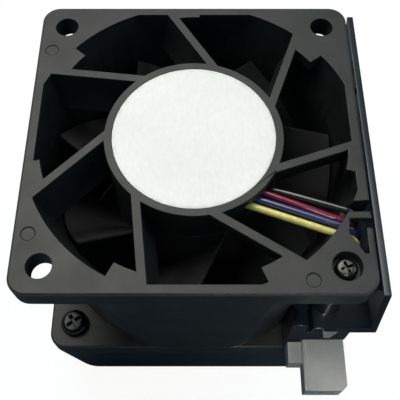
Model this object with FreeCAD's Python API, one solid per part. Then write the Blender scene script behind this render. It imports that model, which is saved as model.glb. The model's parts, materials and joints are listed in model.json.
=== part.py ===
import FreeCAD, Part
import math
import os

# A 60 mm square server cooling fan: a flanged frame with guide vanes, an impeller on two ball
# bearings round a fixed stator, an intake collar, and a side cover that holds the plug of the leads.
# Millimetres. +Z is the way the air goes, from the collar's foot (z = 0) to the exhaust face.

Vector = FreeCAD.Vector
UP = Vector(0, 0, 1)
ORIGIN = Vector(0, 0, 0)
PARTS_FOLDER = "parts"

# Clearances
SEAT = 0.02             # radial room of pieces that are pressed or pushed together
RUNNING = 0.05          # radial room of bearing balls in their races
REST_GAP = 0.2          # room between moulded pieces that hook on each other
CUT_OVER = 1.0          # how far a cutting tool runs past the wall that it cuts

# Frame
FRAME_SIDE = 60.0
FRAME_DEPTH = 38.0
SIDE_WALL = 2.5         # between the bore and the middle of a side
FLANGE_CORNER = 3.3
FLANGE_EDGE = 0.5
EXHAUST_FLANGE = 4.5
INTAKE_FLANGE = 4.0
HOLE_INSET = 5.0        # from a side to the hole's centre
HOLE_RADIUS = 2.15
OUTLET_FLARE = 2.7
OUTLET_WALL = 1.9       # between the outlet's flats and the frame's sides
OUTLET_LIP = 1.5
DIFFUSER_DEPTH = 12.0
BARREL_TOP_WALL = 2.5
BARREL_FOOT_WALL = 3.2
DIMPLE_RADIUS = 1.2
DIMPLE_DEPTH = 0.2
DIMPLE_INSET = 2.6
DIMPLE_SPACING = 38.6

# Motor base and guide vanes
BASE_STEP = 0.15        # the base stands proud of the hub
BASE_PLATE = 2.0
BASE_WALL = 1.3
VANE_COUNT = 7
VANE_DEPTH = 8.5
VANE_START = 178.4      # where the first vane leaves the motor base, in degrees
VANE_SWEEP = 46.6       # between that vane and the radius through its root, in degrees
VANE_TOP_WIDTH = 1.6
VANE_FOOT_WIDTH = 0.9
VANE_LEAN = 2.2
WEB_SPAN = 11.4         # of the web at a vane's far end, in degrees
WEB_THICKNESS = 2.5
LABEL_MARGIN = 1.45
LABEL_THICKNESS = 0.2
LABEL_RECESS = 0.25

# Intake collar
COLLAR_HEIGHT = 14.0
COLLAR_FOOT_CORNER = 8.0
DUCT_STEP = 0.7         # the collar's duct is this much wider than the bore
DUCT_DEPTH = 11.0

# Impeller
BLADE_COUNT = 7
HUB_RADIUS = 16.0
HUB_WALL = 1.3
NOSE_SETBACK = 4.5
NOSE_THICKNESS = 1.6
NOSE_ROUNDING = 2.5
HUB_END_GAP = 0.6
TIP_CLEARANCE = 0.5
BLADE_SETBACK = 6.0
BLADE_GAP = 1.2
BLADE_ROOT_REACH = 8.5  # half of a blade's length round the hub
BLADE_TIP_REACH = 15.0
BLADE_TIP_SWEEP = 9.0
BLADE_CAMBER = 1.6
BLADE_THICKNESS = 1.5
BLADE_EDGE = 0.6
BLADE_SPARE = 2.0       # of the blank past the tip and the hub, before it is trimmed

# Rotor inside the hub
YOKE_WALL = 1.0
YOKE_SETBACK = 1.4
MAGNET_WALL = 1.8
MAGNET_OVERHANG = 3.0   # past the core's intake end
MAGNET_SETBACK = 1.5
BUSH_WALL = 1.68
BUSH_LENGTH = 4.4
SHAFT_RADIUS = 1.5
SHAFT_TAIL = 1.2        # past the retaining clip
SHAFT_CHAMFER = 0.3
CLIP_THICKNESS = 0.4
CLIP_WIDTH = 1.1        # past the shaft's surface
CLIP_OPENING = 1.8
GROOVE_DEPTH = 0.35
SPRING_HEIGHT = 1.5
SPRING_THICKNESS = 0.3
SPRING_WIDTH = 1.2

# Bearings and their tube
BEARING_RADIUS = 4.0
BEARING_WIDTH = 3.0
BEARING_DEPTH = 7.0     # from the base's floor to the upper bearing's far face
BALL_COUNT = 7
BALL_RADIUS = 0.75
RACE_SHOULDER = 0.45    # from the ball circle to the shoulder of either ring
CAGE_HALF_WIDTH = 0.3
CAGE_FINGER = 0.3       # how far the cage's fingers pass the balls' middle
SHIELD_THICKNESS = 0.2
SHIELD_INSET = 0.1
TUBE_WALL = 1.0
TUBE_STEP = 0.6
TUBE_LEAD = 1.0         # tube past the intake side bearing
TUBE_END_GAP = 0.5
BOSS_WALL = 1.4

# Stator
AIR_GAP = 0.4
CORE_SETBACK = 2.0      # from the intake side bearing to the core
BOARD_STANDOFF = 6.3    # from the core to the circuit board
POLE_COUNT = 4
CORE_RING_SHARE = 0.28  # of the core's wall between its bore and the air gap
POLE_SHOE_SHARE = 0.23
POLE_WIDTH = 3.2
SLOT_OPENING = 12.0     # between two pole shoes, in degrees
INSULATOR_THICKNESS = 1.2
INSULATOR_LIP = 1.0
COIL_WALL = 1.8
COIL_CLEARANCE = 0.1
COIL_ROUNDING = 1.1
PIN_RADIUS = 0.3
PIN_PROUD = 0.8
PIN_SEAT = 0.8

# Circuit board in the motor base; the blocks on it are depth, width and height
BOARD_THICKNESS = 1.0
BOARD_SETBACK = 0.8     # inside the base's open end
BOARD_EDGE_GAP = 0.4
HALL_SIZE = (1.2, 3.0, 2.0)
HALL_ANGLE = 45.0
CHIP_SIZE = (4.0, 5.0, 1.5)
CHIP_ANGLE = 150.0
CAPACITOR_RADIUS = 2.0
CAPACITOR_HEIGHT = 3.6
CAPACITOR_ANGLE = 240.0
RESISTOR_SIZE = (1.2, 2.0, 0.6)
RESISTOR_ANGLES = [60.0, 75.0, 105.0]

# Screws
SCREW_RADIUS = 1.5
SCREW_HEAD_WIDTH = 1.25  # past the shank
SCREW_HEAD_HEIGHT = 2.0
SCREW_REACH = 8.0       # into the collar
COVER_SCREW_HEAD_WIDTH = 0.4
COVER_SCREW_HEAD_HEIGHT = 1.6
COVER_SCREW_REACH = 7.0
COUNTERBORE_GAP = 0.6
COUNTERBORE_DEPTH = 2.2
HEAD_CHAMFER = 0.6

# Side cover with its shelf and plug holder
COVER_GAP = 0.3
COVER_WALL = 1.2
COVER_LEAN = 2.9
COVER_TOP_GAP = 0.2
COVER_SETBACK = 2.2     # of the wall's far end from the frame's far side
SKIRT_LENGTH = 32.0     # of the wall under the shelf's level, which hides the dropping leads
SHELF_HEIGHT = 11.7     # of the shelf's underside over the intake flange
SHELF_THICKNESS = 3.0
SHELF_REACH = 3.0       # past the hole's centre to the left
SHELF_DEPTH = 2.2       # past the hole's centre to the far side
BOSS_RADIUS = 2.4
HOLDER_WALL = 2.9
HOLDER_WALL_RISE = 1.7  # of the left wall over the shelf
HOLDER_RIGHT_WALL = 1.2
HOLDER_RIGHT_SETBACK = 3.0
CATCH_TOP_WIDTH = 2.8
CATCH_FOOT_WIDTH = 1.3
CATCH_DROP = 1.2
CATCH_PROUD = 0.7
PEG_CLEARANCE = 0.1
HOOK_START = 9.5        # from the far side
HOOK_LENGTH = 7.0
HOOK_REACH = 3.5
HOOK_THICKNESS = 2.0

# Plug
PLUG_WAYS = 4
PLUG_PITCH = 2.0
PLUG_SIDE = 1.1         # from the outer ways' centres to the plug's sides
PLUG_THICKNESS = 4.5
PLUG_SHIFT = 0.2        # of the plug's middle to the right of the hole's centre
PLUG_SETBACK = 0.4      # of the plug's back to the near side of the hole's centre
PLUG_PROUD = 9.7        # past the frame's near side
PLUG_FLOOR = 1.5        # of the holder under the plug
PLUG_CLEARANCE = 0.15
PLUG_CHAMFER = 1.0
PLUG_RIB_WIDTH = 0.7
PLUG_RIB_HEIGHT = 0.3
CAVITY_CLEARANCE = 0.1
EAR_WIDTH = 2.8
EAR_LENGTH = 4.2
EAR_GAP = 0.2
EAR_DROP = 0.3
TERMINAL_BORE = 0.7
TERMINAL_INSET = 1.2

# Leads: they leave the motor base side by side along one heading and drop behind the side cover
LEAD_RADIUS = 0.65
LEAD_HEADING = -20.0
LEAD_BEND = 2.4
BEND_SHARE = 0.45       # of a run's length that one bend may take up
LEAD_GRIP = 3.0         # length of lead inside the plug
LEAD_TURN = 2.2         # how far behind the plug a lead turns into its way
LEAD_ROOM = 0.4         # round the bundle where it passes through the frame
BUNDLE_TOP = -3.6       # offset of the outermost leads from the fan's axis, square to the heading
BUNDLE_FOOT = -8.6
LEAD_LEVEL = 3.0        # depth of the bundle's upper layer under the exhaust face
LEAD_LAYER = 1.4        # the crossing pair's lower layer lies this much deeper
LEAD_BOARD_INSET = 0.9  # from the board's edge to the leads that rise from it
DROP_INSETS = [1.9, 1.7, 2.15, 1.35]  # from the frame's right side to each lead's drop
DROP_ENDS = [10.2, 8.2, 5.2, 2.2]     # height over the plug's ways where each drop ends
CHANNEL_DEPTH = 5.8     # of the frame's lead channel under the exhaust face
ARM_THICKNESS = 1.8     # of the face that bridges the channel
RELIEF_WALL = 3.3       # of the barrel where the leads drop
RELIEF_START = -56.0
RELIEF_END = -22.0
SLOT_RIM = 1.2          # of the face outside the lower slot
BRIDGE_WIDTH = 1.3      # of the bar between the two slots
LOWER_SLOT_TOP = 13.5   # slot heights are distances from the frame's near side
LOWER_SLOT_WAIST = 10.9
LOWER_SLOT_FOOT = 7.2
LOWER_SLOT_FOOT_WIDTH = 0.7
LOWER_SLOT_MOUTH = 1.7
UPPER_SLOT_TOP = 17.0
UPPER_SLOT_SLOPE = 0.4  # the upper slot's top edge falls this much towards the axis
SLOT_TOP_WALL = 0.9     # these walls stand between the outlet and the lower slot
SLOT_WAIST_WALL = 2.5

# Levels, radii and places that follow from the sizes above
HALF_SIDE = FRAME_SIDE / 2
HOLE_OFFSET = HALF_SIDE - HOLE_INSET
BORE_RADIUS = HALF_SIDE - SIDE_WALL
OUTLET_RADIUS = BORE_RADIUS + OUTLET_FLARE
OUTLET_HALF = HALF_SIDE - OUTLET_WALL
BARREL_TOP_RADIUS = OUTLET_RADIUS + BARREL_TOP_WALL
BARREL_FOOT_RADIUS = BORE_RADIUS + BARREL_FOOT_WALL
INTAKE_FACE = COLLAR_HEIGHT
EXHAUST_FACE = INTAKE_FACE + FRAME_DEPTH
INTAKE_FLANGE_TOP = INTAKE_FACE + INTAKE_FLANGE
FLANGE_UNDERSIDE = EXHAUST_FACE - EXHAUST_FLANGE
BASE_RADIUS = HUB_RADIUS + BASE_STEP
VANE_ROOT_RADIUS = BASE_RADIUS - BASE_WALL / 2
BASE_FOOT = EXHAUST_FACE - VANE_DEPTH
BASE_INSIDE = EXHAUST_FACE - BASE_PLATE
LABEL_RADIUS = BASE_RADIUS - LABEL_MARGIN
DUCT_RADIUS = BORE_RADIUS + DUCT_STEP
NOSE_LEVEL = INTAKE_FACE + NOSE_SETBACK
NOSE_INSIDE = NOSE_LEVEL + NOSE_THICKNESS
HUB_END = BASE_FOOT - HUB_END_GAP
TIP_RADIUS = BORE_RADIUS - TIP_CLEARANCE
YOKE_RADIUS = HUB_RADIUS - HUB_WALL - SEAT
YOKE_END = HUB_END - YOKE_SETBACK
YOKE_INSIDE = NOSE_INSIDE + YOKE_WALL
MAGNET_RADIUS = YOKE_RADIUS - YOKE_WALL - SEAT
MAGNET_BORE = MAGNET_RADIUS - MAGNET_WALL
MAGNET_END = YOKE_END - MAGNET_SETBACK
BUSH_RADIUS = SHAFT_RADIUS + SEAT + BUSH_WALL
BUSH_END = NOSE_INSIDE + BUSH_LENGTH
LOWER_BEARING = BUSH_END + SPRING_HEIGHT
UPPER_BEARING = BASE_INSIDE - BEARING_DEPTH
BALL_PITCH_RADIUS = (BEARING_RADIUS + SHAFT_RADIUS) / 2
CLIP_LEVEL = UPPER_BEARING + BEARING_WIDTH + SEAT
SHAFT_START = NOSE_INSIDE + REST_GAP
SHAFT_END = CLIP_LEVEL + CLIP_THICKNESS + SHAFT_TAIL
TUBE_BORE = BEARING_RADIUS + SEAT
TUBE_RADIUS = TUBE_BORE + TUBE_WALL
TUBE_START = LOWER_BEARING - TUBE_LEAD
TUBE_END = BASE_INSIDE - TUBE_END_GAP
BASE_BOSS_RADIUS = TUBE_RADIUS + BOSS_WALL
BOARD_RADIUS = BASE_RADIUS - BASE_WALL - BOARD_EDGE_GAP
BOARD_FOOT = BASE_FOOT + BOARD_SETBACK
BOARD_TOP = BOARD_FOOT + BOARD_THICKNESS
BOARD_MIDDLE = (BASE_BOSS_RADIUS + BOARD_RADIUS) / 2
CORE_START = LOWER_BEARING + CORE_SETBACK
CORE_END = BOARD_FOOT - BOARD_STANDOFF
CORE_RADIUS = MAGNET_BORE - AIR_GAP
CORE_BORE = TUBE_RADIUS + SEAT
CORE_RING_WALL = CORE_RING_SHARE * (CORE_RADIUS - CORE_BORE)
POLE_SHOE = POLE_SHOE_SHARE * (CORE_RADIUS - CORE_BORE)
SCREW_HEAD_RADIUS = SCREW_RADIUS + SCREW_HEAD_WIDTH
COVER_SCREW_HEAD_RADIUS = SCREW_RADIUS + COVER_SCREW_HEAD_WIDTH
COUNTERBORE_RADIUS = COVER_SCREW_HEAD_RADIUS + COUNTERBORE_GAP
SHELF_FOOT = INTAKE_FLANGE_TOP + SHELF_HEIGHT
SHELF_TOP = SHELF_FOOT + SHELF_THICKNESS
PLUG_WIDTH = PLUG_PITCH * (PLUG_WAYS - 1) + 2 * PLUG_SIDE
PLUG_MIDDLE = HOLE_OFFSET + PLUG_SHIFT
PLUG_LEFT = PLUG_MIDDLE - PLUG_WIDTH / 2
PLUG_RIGHT = PLUG_MIDDLE + PLUG_WIDTH / 2
PLUG_BACK = -HOLE_OFFSET - PLUG_SETBACK
PLUG_FRONT = -HALF_SIDE - PLUG_PROUD
PLUG_FOOT = INTAKE_FLANGE_TOP + PLUG_FLOOR
PLUG_TOP = PLUG_FOOT + PLUG_THICKNESS
PLUG_CAVITY = 2 * (LEAD_RADIUS + CAVITY_CLEARANCE)
TERMINAL_SIZE = PLUG_CAVITY - 2 * CAVITY_CLEARANCE
WAY_LEVEL = PLUG_FOOT + PLUG_THICKNESS / 2
HOLDER_LEFT = PLUG_LEFT - PLUG_CLEARANCE - HOLDER_WALL
RELIEF_RADIUS = BORE_RADIUS + RELIEF_WALL
LEAD_UPPER = EXHAUST_FACE - LEAD_LEVEL


def at(radius, degrees, level=0.0):
    """A point at a radius and an angle about the fan's axis."""
    angle = math.radians(degrees)
    return Vector(radius * math.cos(angle), radius * math.sin(angle), level)


def cylinder(radius, foot, top, x=0.0, y=0.0):
    return Part.makeCylinder(radius, top - foot, Vector(x, y, foot), UP)


def ring(outer, inner, foot, top):
    return cylinder(outer, foot, top).cut(cylinder(inner, foot - CUT_OVER, top + CUT_OVER))


def box(low, high):
    """A box between two opposite corners."""
    return Part.makeBox(high[0] - low[0], high[1] - low[1], high[2] - low[2], Vector(*low))


def outline(points):
    """A closed wire of straight edges."""
    return Part.makePolygon([Vector(*point) for point in points + points[:1]])


def prism(points, foot, top):
    """A solid over a closed outline in plan."""
    wire = outline([(x, y, foot) for x, y in points])
    return Part.Face(wire).extrude(Vector(0, 0, top - foot))


def turned(points):
    """A solid turned about the fan's axis from a closed outline of radius and level."""
    wire = outline([(radius, 0, level) for radius, level in points])
    return Part.Face(wire).revolve(ORIGIN, UP, 360)


def sector(outer, inner, start, end, foot, top):
    """Part of a ring between two angles."""
    middle = (start + end) / 2
    edges = [
        Part.Arc(at(outer, start, foot), at(outer, middle, foot), at(outer, end, foot)).toShape(),
        Part.LineSegment(at(outer, end, foot), at(inner, end, foot)).toShape(),
        Part.Arc(at(inner, end, foot), at(inner, middle, foot), at(inner, start, foot)).toShape(),
        Part.LineSegment(at(inner, start, foot), at(outer, start, foot)).toShape(),
    ]
    return Part.Face(Part.Wire(edges)).extrude(Vector(0, 0, top - foot))


def rounded_square(half, corner, level):
    """A square wire with round corners, centred on the fan's axis."""
    edges = []
    inner = half - corner
    for quarter in range(4):
        turn = 90.0 * quarter
        centre = at(inner * math.sqrt(2), turn + 45, level)
        start = centre + at(corner, turn)
        middle = centre + at(corner, turn + 45)
        end = centre + at(corner, turn + 90)
        next_start = at(inner * math.sqrt(2), turn + 135, level) + at(corner, turn + 90)
        edges.append(Part.Arc(start, middle, end).toShape())
        edges.append(Part.LineSegment(end, next_start).toShape())
    return Part.Wire(edges)


def turned_copy(shape, degrees):
    copy = shape.copy()
    copy.rotate(ORIGIN, UP, degrees)
    return copy


def around(shape, count):
    """Copies of a shape, spaced evenly round the fan's axis."""
    return [turned_copy(shape, index * 360.0 / count) for index in range(count)]


def corners():
    """The four hole places of either flange."""
    return [(x, y) for x in (-HOLE_OFFSET, HOLE_OFFSET) for y in (-HOLE_OFFSET, HOLE_OFFSET)]


def dimple_places():
    """The mould marks on the exhaust face: two on the left side, one on the near side."""
    edge = HALF_SIDE - DIMPLE_INSET
    reach = DIMPLE_SPACING / 2
    return [(-edge, reach), (-edge, -reach), (reach, -edge)]


def beside_outlet(near, wall):
    """The point that a wall keeps from the outlet, at a distance from the frame's near side.

    A wall below zero lies inside the outlet.
    """
    y = near - HALF_SIDE
    return (math.sqrt(OUTLET_RADIUS ** 2 - y ** 2) + wall, y)


def is_cover_corner(x, y):
    """True at the corner that the side cover is fastened to."""
    return x > 0 and y < 0


def save(name, *solids):
    shape = solids[0] if len(solids) == 1 else Part.makeCompound(list(solids))
    shape.exportStep(os.path.join(PARTS_FOLDER, name + ".step"))
    print(name, len(shape.Solids), "solids", round(shape.Volume, 1), "mm3", "valid", shape.isValid())


# Frame

def flange(foot, top, rounded_edge_level):
    """A square plate with round corners and a softened outer edge."""
    plate = Part.Face(rounded_square(HALF_SIDE, FLANGE_CORNER, foot)).extrude(Vector(0, 0, top - foot))
    edges = [edge for edge in plate.Edges
             if all(abs(vertex.Z - rounded_edge_level) < SEAT for vertex in edge.Vertexes)]
    return plate.makeFillet(FLANGE_EDGE, edges)


def barrel_outside(clearance=0.0):
    """The barrel's slightly tapered outside, cut flat by the frame's sides."""
    height = FLANGE_UNDERSIDE - INTAKE_FLANGE_TOP
    foot_radius = BARREL_FOOT_RADIUS + clearance
    top_radius = BARREL_TOP_RADIUS + clearance
    cone = Part.makeCone(foot_radius, top_radius, height, Vector(0, 0, INTAKE_FLANGE_TOP), UP)
    half = HALF_SIDE + clearance
    return cone.common(box((-half, -half, INTAKE_FLANGE_TOP), (half, half, FLANGE_UNDERSIDE)))


def air_duct():
    """The space for the air: a straight bore, then a diffuser that opens to the flat-sided outlet."""
    bore = cylinder(BORE_RADIUS, INTAKE_FACE - CUT_OVER, EXHAUST_FACE + CUT_OVER)
    diffuser = turned([
        (0, EXHAUST_FACE - DIFFUSER_DEPTH),
        (BORE_RADIUS, EXHAUST_FACE - DIFFUSER_DEPTH),
        (OUTLET_RADIUS, EXHAUST_FACE - OUTLET_LIP),
        (OUTLET_RADIUS, EXHAUST_FACE + CUT_OVER),
        (0, EXHAUST_FACE + CUT_OVER),
    ])
    flats = box((-OUTLET_HALF, -OUTLET_HALF, INTAKE_FACE),
                (OUTLET_HALF, OUTLET_HALF, EXHAUST_FACE + 2 * CUT_OVER))
    return bore.fuse(diffuser.common(flats))


def motor_base():
    """The round cup under the label, with the boss that carries the bearing tube."""
    cup = turned([
        (0, BASE_INSIDE),
        (BASE_RADIUS - BASE_WALL, BASE_INSIDE),
        (BASE_RADIUS - BASE_WALL, BASE_FOOT),
        (BASE_RADIUS, BASE_FOOT),
        (BASE_RADIUS, EXHAUST_FACE),
        (0, EXHAUST_FACE),
    ])
    boss = ring(BASE_BOSS_RADIUS, TUBE_RADIUS + SEAT, BOARD_TOP, BASE_INSIDE)
    recess = cylinder(LABEL_RADIUS + SEAT, EXHAUST_FACE - LABEL_RECESS, EXHAUST_FACE + CUT_OVER)
    return cup.fuse(boss).cut(recess)


def guide_vane():
    """One vane: straight in plan, curved in section so that its foot meets the turning air."""
    root = at(VANE_ROOT_RADIUS, VANE_START)
    heading = at(1, VANE_START + VANE_SWEEP)
    side = at(1, VANE_START + VANE_SWEEP + 90)

    def place(across, level):
        return root + side * across + UP * level

    middle_level = (EXHAUST_FACE + BASE_FOOT) / 2
    middle_width = (VANE_TOP_WIDTH + VANE_FOOT_WIDTH) / 2
    middle_lean = VANE_LEAN / 4
    top = VANE_TOP_WIDTH / 2
    foot = VANE_FOOT_WIDTH / 2
    front = Part.Arc(place(top, EXHAUST_FACE), place(middle_lean + middle_width / 2, middle_level),
                     place(VANE_LEAN + foot, BASE_FOOT))
    back = Part.Arc(place(VANE_LEAN - foot, BASE_FOOT), place(middle_lean - middle_width / 2, middle_level),
                    place(-top, EXHAUST_FACE))
    section = Part.Wire([
        front.toShape(),
        Part.LineSegment(front.EndPoint, back.StartPoint).toShape(),
        back.toShape(),
        Part.LineSegment(back.EndPoint, front.StartPoint).toShape(),
    ])
    blank = Part.Face(section).extrude(heading * OUTLET_RADIUS)
    return blank.common(ring(OUTLET_RADIUS, VANE_ROOT_RADIUS, BASE_FOOT, EXHAUST_FACE))


def vane_angle(radius):
    """How far round the axis, from its root, a vane has come at a radius."""
    sweep = math.radians(VANE_SWEEP)
    return VANE_SWEEP - math.degrees(math.asin(VANE_ROOT_RADIUS * math.sin(sweep) / radius))


def vane_web():
    """The flat web between a vane's far end and the outlet's wall."""
    end = VANE_START + vane_angle((BORE_RADIUS + OUTLET_RADIUS) / 2)
    return sector(OUTLET_RADIUS, BORE_RADIUS, end - WEB_SPAN, end, EXHAUST_FACE - WEB_THICKNESS, EXHAUST_FACE)


def bundle_room(start, end, foot, top):
    """A straight passage for the leads, along their heading."""
    low = (start, BUNDLE_FOOT - LEAD_RADIUS - LEAD_ROOM, foot)
    high = (end, BUNDLE_TOP + LEAD_RADIUS + LEAD_ROOM, top)
    return turned_copy(box(low, high), LEAD_HEADING)


def lower_slot():
    """The slot in the face where the leads drop, with a narrow mouth in the right side."""
    top = LOWER_SLOT_TOP - HALF_SIDE
    foot = LOWER_SLOT_FOOT - HALF_SIDE
    right = HALF_SIDE - SLOT_RIM
    outside = HALF_SIDE + CUT_OVER
    return [
        beside_outlet(LOWER_SLOT_TOP, SLOT_TOP_WALL),
        beside_outlet(LOWER_SLOT_WAIST, SLOT_WAIST_WALL),
        (right - LOWER_SLOT_FOOT_WIDTH, foot),
        (right, foot),
        (right, top - LOWER_SLOT_MOUTH),
        (outside, top - LOWER_SLOT_MOUTH),
        (outside, top),
    ]


def upper_slot():
    """The notch over the bar between the two slots, open to the outlet and to the right side."""
    foot = LOWER_SLOT_TOP + BRIDGE_WIDTH
    outside = HALF_SIDE + CUT_OVER
    return [
        beside_outlet(foot, -CUT_OVER),
        beside_outlet(UPPER_SLOT_TOP - UPPER_SLOT_SLOPE, -CUT_OVER),
        (outside, UPPER_SLOT_TOP - HALF_SIDE),
        (outside, foot - HALF_SIDE),
    ]


def fan_frame():
    exhaust = flange(FLANGE_UNDERSIDE, EXHAUST_FACE, EXHAUST_FACE)
    intake = flange(INTAKE_FACE, INTAKE_FLANGE_TOP, INTAKE_FLANGE_TOP)
    relief = sector(FRAME_SIDE, RELIEF_RADIUS, RELIEF_START, RELIEF_END,
                    INTAKE_FLANGE_TOP - CUT_OVER, FLANGE_UNDERSIDE + CUT_OVER)
    barrel = barrel_outside().cut(relief)
    frame = exhaust.fuse([intake, barrel]).cut(air_duct())
    half = (OUTLET_HALF + HALF_SIDE) / 2
    square = box((-half, -half, BASE_FOOT), (half, half, EXHAUST_FACE))
    vanes = around(guide_vane(), VANE_COUNT) + around(vane_web(), VANE_COUNT)
    frame = frame.fuse([motor_base()] + [vane.common(square) for vane in vanes])
    cuts = []
    over_face = EXHAUST_FACE + CUT_OVER
    for x, y in corners():
        cuts.append(cylinder(HOLE_RADIUS, INTAKE_FACE - CUT_OVER, INTAKE_FLANGE_TOP + CUT_OVER, x, y))
        if is_cover_corner(x, y):
            cuts.append(cylinder(COUNTERBORE_RADIUS, EXHAUST_FACE - COUNTERBORE_DEPTH, over_face, x, y))
            cuts.append(cylinder(SCREW_RADIUS + REST_GAP, FLANGE_UNDERSIDE - CUT_OVER, EXHAUST_FACE, x, y))
        else:
            cuts.append(cylinder(HOLE_RADIUS, FLANGE_UNDERSIDE - CUT_OVER, over_face, x, y))
    for x, y in dimple_places():
        cuts.append(cylinder(DIMPLE_RADIUS, EXHAUST_FACE - DIMPLE_DEPTH, over_face, x, y))
    channel_top = EXHAUST_FACE - ARM_THICKNESS
    channel_foot = EXHAUST_FACE - CHANNEL_DEPTH
    cuts.append(bundle_room(BORE_RADIUS - BASE_WALL, FRAME_SIDE, channel_foot, channel_top))
    cuts.append(bundle_room(BASE_RADIUS / 2, BASE_RADIUS + CUT_OVER, channel_foot, BASE_INSIDE))
    for slot in (lower_slot(), upper_slot()):
        cuts.append(prism(slot, FLANGE_UNDERSIDE - CUT_OVER, over_face))
    return frame.cut(cuts).removeSplitter()


def label():
    foot = EXHAUST_FACE - LABEL_RECESS
    return cylinder(LABEL_RADIUS, foot, foot + LABEL_THICKNESS)


# Intake collar and its screws

def intake_collar():
    top = rounded_square(HALF_SIDE, FLANGE_CORNER, INTAKE_FACE)
    foot = rounded_square(HALF_SIDE, COLLAR_FOOT_CORNER, 0)
    body = Part.makeLoft([foot, top], True, True)
    duct = turned([
        (0, -CUT_OVER),
        (DUCT_RADIUS, -CUT_OVER),
        (DUCT_RADIUS, DUCT_DEPTH),
        (BORE_RADIUS, INTAKE_FACE),
        (BORE_RADIUS, INTAKE_FACE + CUT_OVER),
        (0, INTAKE_FACE + CUT_OVER),
    ])
    pilot_foot = INTAKE_FACE - SCREW_REACH - CUT_OVER
    pilots = [cylinder(SCREW_RADIUS + SEAT, pilot_foot, INTAKE_FACE + CUT_OVER, x, y)
              for x, y in corners() if not is_cover_corner(x, y)]
    return body.cut([duct] + pilots)


def screw(x, y, seat_level, head_radius, head_height, length):
    """A pan-headed screw that points down, with its head on the seat."""
    edge = seat_level + head_height - HEAD_CHAMFER
    body = turned([
        (0, seat_level - length),
        (SCREW_RADIUS, seat_level - length),
        (SCREW_RADIUS, seat_level),
        (head_radius, seat_level),
        (head_radius, edge),
        (head_radius - HEAD_CHAMFER, seat_level + head_height),
        (0, seat_level + head_height),
    ])
    body.translate(Vector(x, y, 0))
    return body


def collar_screws():
    length = INTAKE_FLANGE + SCREW_REACH
    return [screw(x, y, INTAKE_FLANGE_TOP, SCREW_HEAD_RADIUS, SCREW_HEAD_HEIGHT, length)
            for x, y in corners() if not is_cover_corner(x, y)]


def cover_screw():
    seat = EXHAUST_FACE - COUNTERBORE_DEPTH
    length = EXHAUST_FLANGE - COUNTERBORE_DEPTH + COVER_SCREW_REACH
    return screw(HOLE_OFFSET, -HOLE_OFFSET, seat, COVER_SCREW_HEAD_RADIUS, COVER_SCREW_HEAD_HEIGHT, length)


# Side cover

def cover_inner_x(level):
    """Where the leaning wall's inner face stands at a level."""
    top = EXHAUST_FACE - COVER_TOP_GAP
    return HALF_SIDE + COVER_GAP + COVER_LEAN * (top - level) / (top - SHELF_FOOT)


def cover_wall():
    top = EXHAUST_FACE - COVER_TOP_GAP
    section = [(cover_inner_x(top), top), (cover_inner_x(top) + COVER_WALL, top),
               (cover_inner_x(SHELF_FOOT) + COVER_WALL, SHELF_FOOT), (cover_inner_x(SHELF_FOOT), SHELF_FOOT)]
    wire = outline([(x, -HALF_SIDE, level) for x, level in section])
    return Part.Face(wire).extrude(Vector(0, FRAME_SIDE - COVER_SETBACK, 0))


def cover_skirt():
    """The upright wall that guards the leads between the shelf's level and the intake flange."""
    inner = cover_inner_x(SHELF_FOOT)
    near = SHELF_DEPTH - HOLE_OFFSET
    return box((inner, near, INTAKE_FLANGE_TOP), (inner + COVER_WALL, near + SKIRT_LENGTH, SHELF_FOOT))


def plug_holder():
    """The block that the plug slides into, open on the right near its mouth."""
    front = -HALF_SIDE
    right = PLUG_RIGHT + PLUG_CLEARANCE
    block = box((HOLDER_LEFT, front, INTAKE_FLANGE_TOP), (right, PLUG_BACK, SHELF_FOOT))
    left_wall = box((HOLDER_LEFT, front, INTAKE_FLANGE_TOP),
                    (PLUG_LEFT - PLUG_CLEARANCE, PLUG_BACK, SHELF_TOP + HOLDER_WALL_RISE))
    right_wall = box((right, front + HOLDER_RIGHT_SETBACK, INTAKE_FLANGE_TOP),
                     (right + HOLDER_RIGHT_WALL, PLUG_BACK, SHELF_FOOT))
    tunnel = box((PLUG_LEFT - PLUG_CLEARANCE, front - CUT_OVER, PLUG_FOOT - PLUG_CLEARANCE),
                 (right, PLUG_BACK + CUT_OVER, PLUG_TOP + PLUG_RIB_HEIGHT + PLUG_CLEARANCE))
    return block.fuse([left_wall, right_wall]).cut(tunnel)


def shelf_catch():
    """The tapered catch on the shelf's near edge, over the plug."""
    front = -HALF_SIDE
    section = [(PLUG_MIDDLE - CATCH_TOP_WIDTH / 2, SHELF_TOP), (PLUG_MIDDLE + CATCH_TOP_WIDTH / 2, SHELF_TOP),
               (PLUG_MIDDLE + CATCH_FOOT_WIDTH / 2, SHELF_FOOT - CATCH_DROP),
               (PLUG_MIDDLE - CATCH_FOOT_WIDTH / 2, SHELF_FOOT - CATCH_DROP)]
    wire = outline([(x, front, level) for x, level in section])
    return Part.Face(wire).extrude(Vector(0, -CATCH_PROUD, 0))


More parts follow.
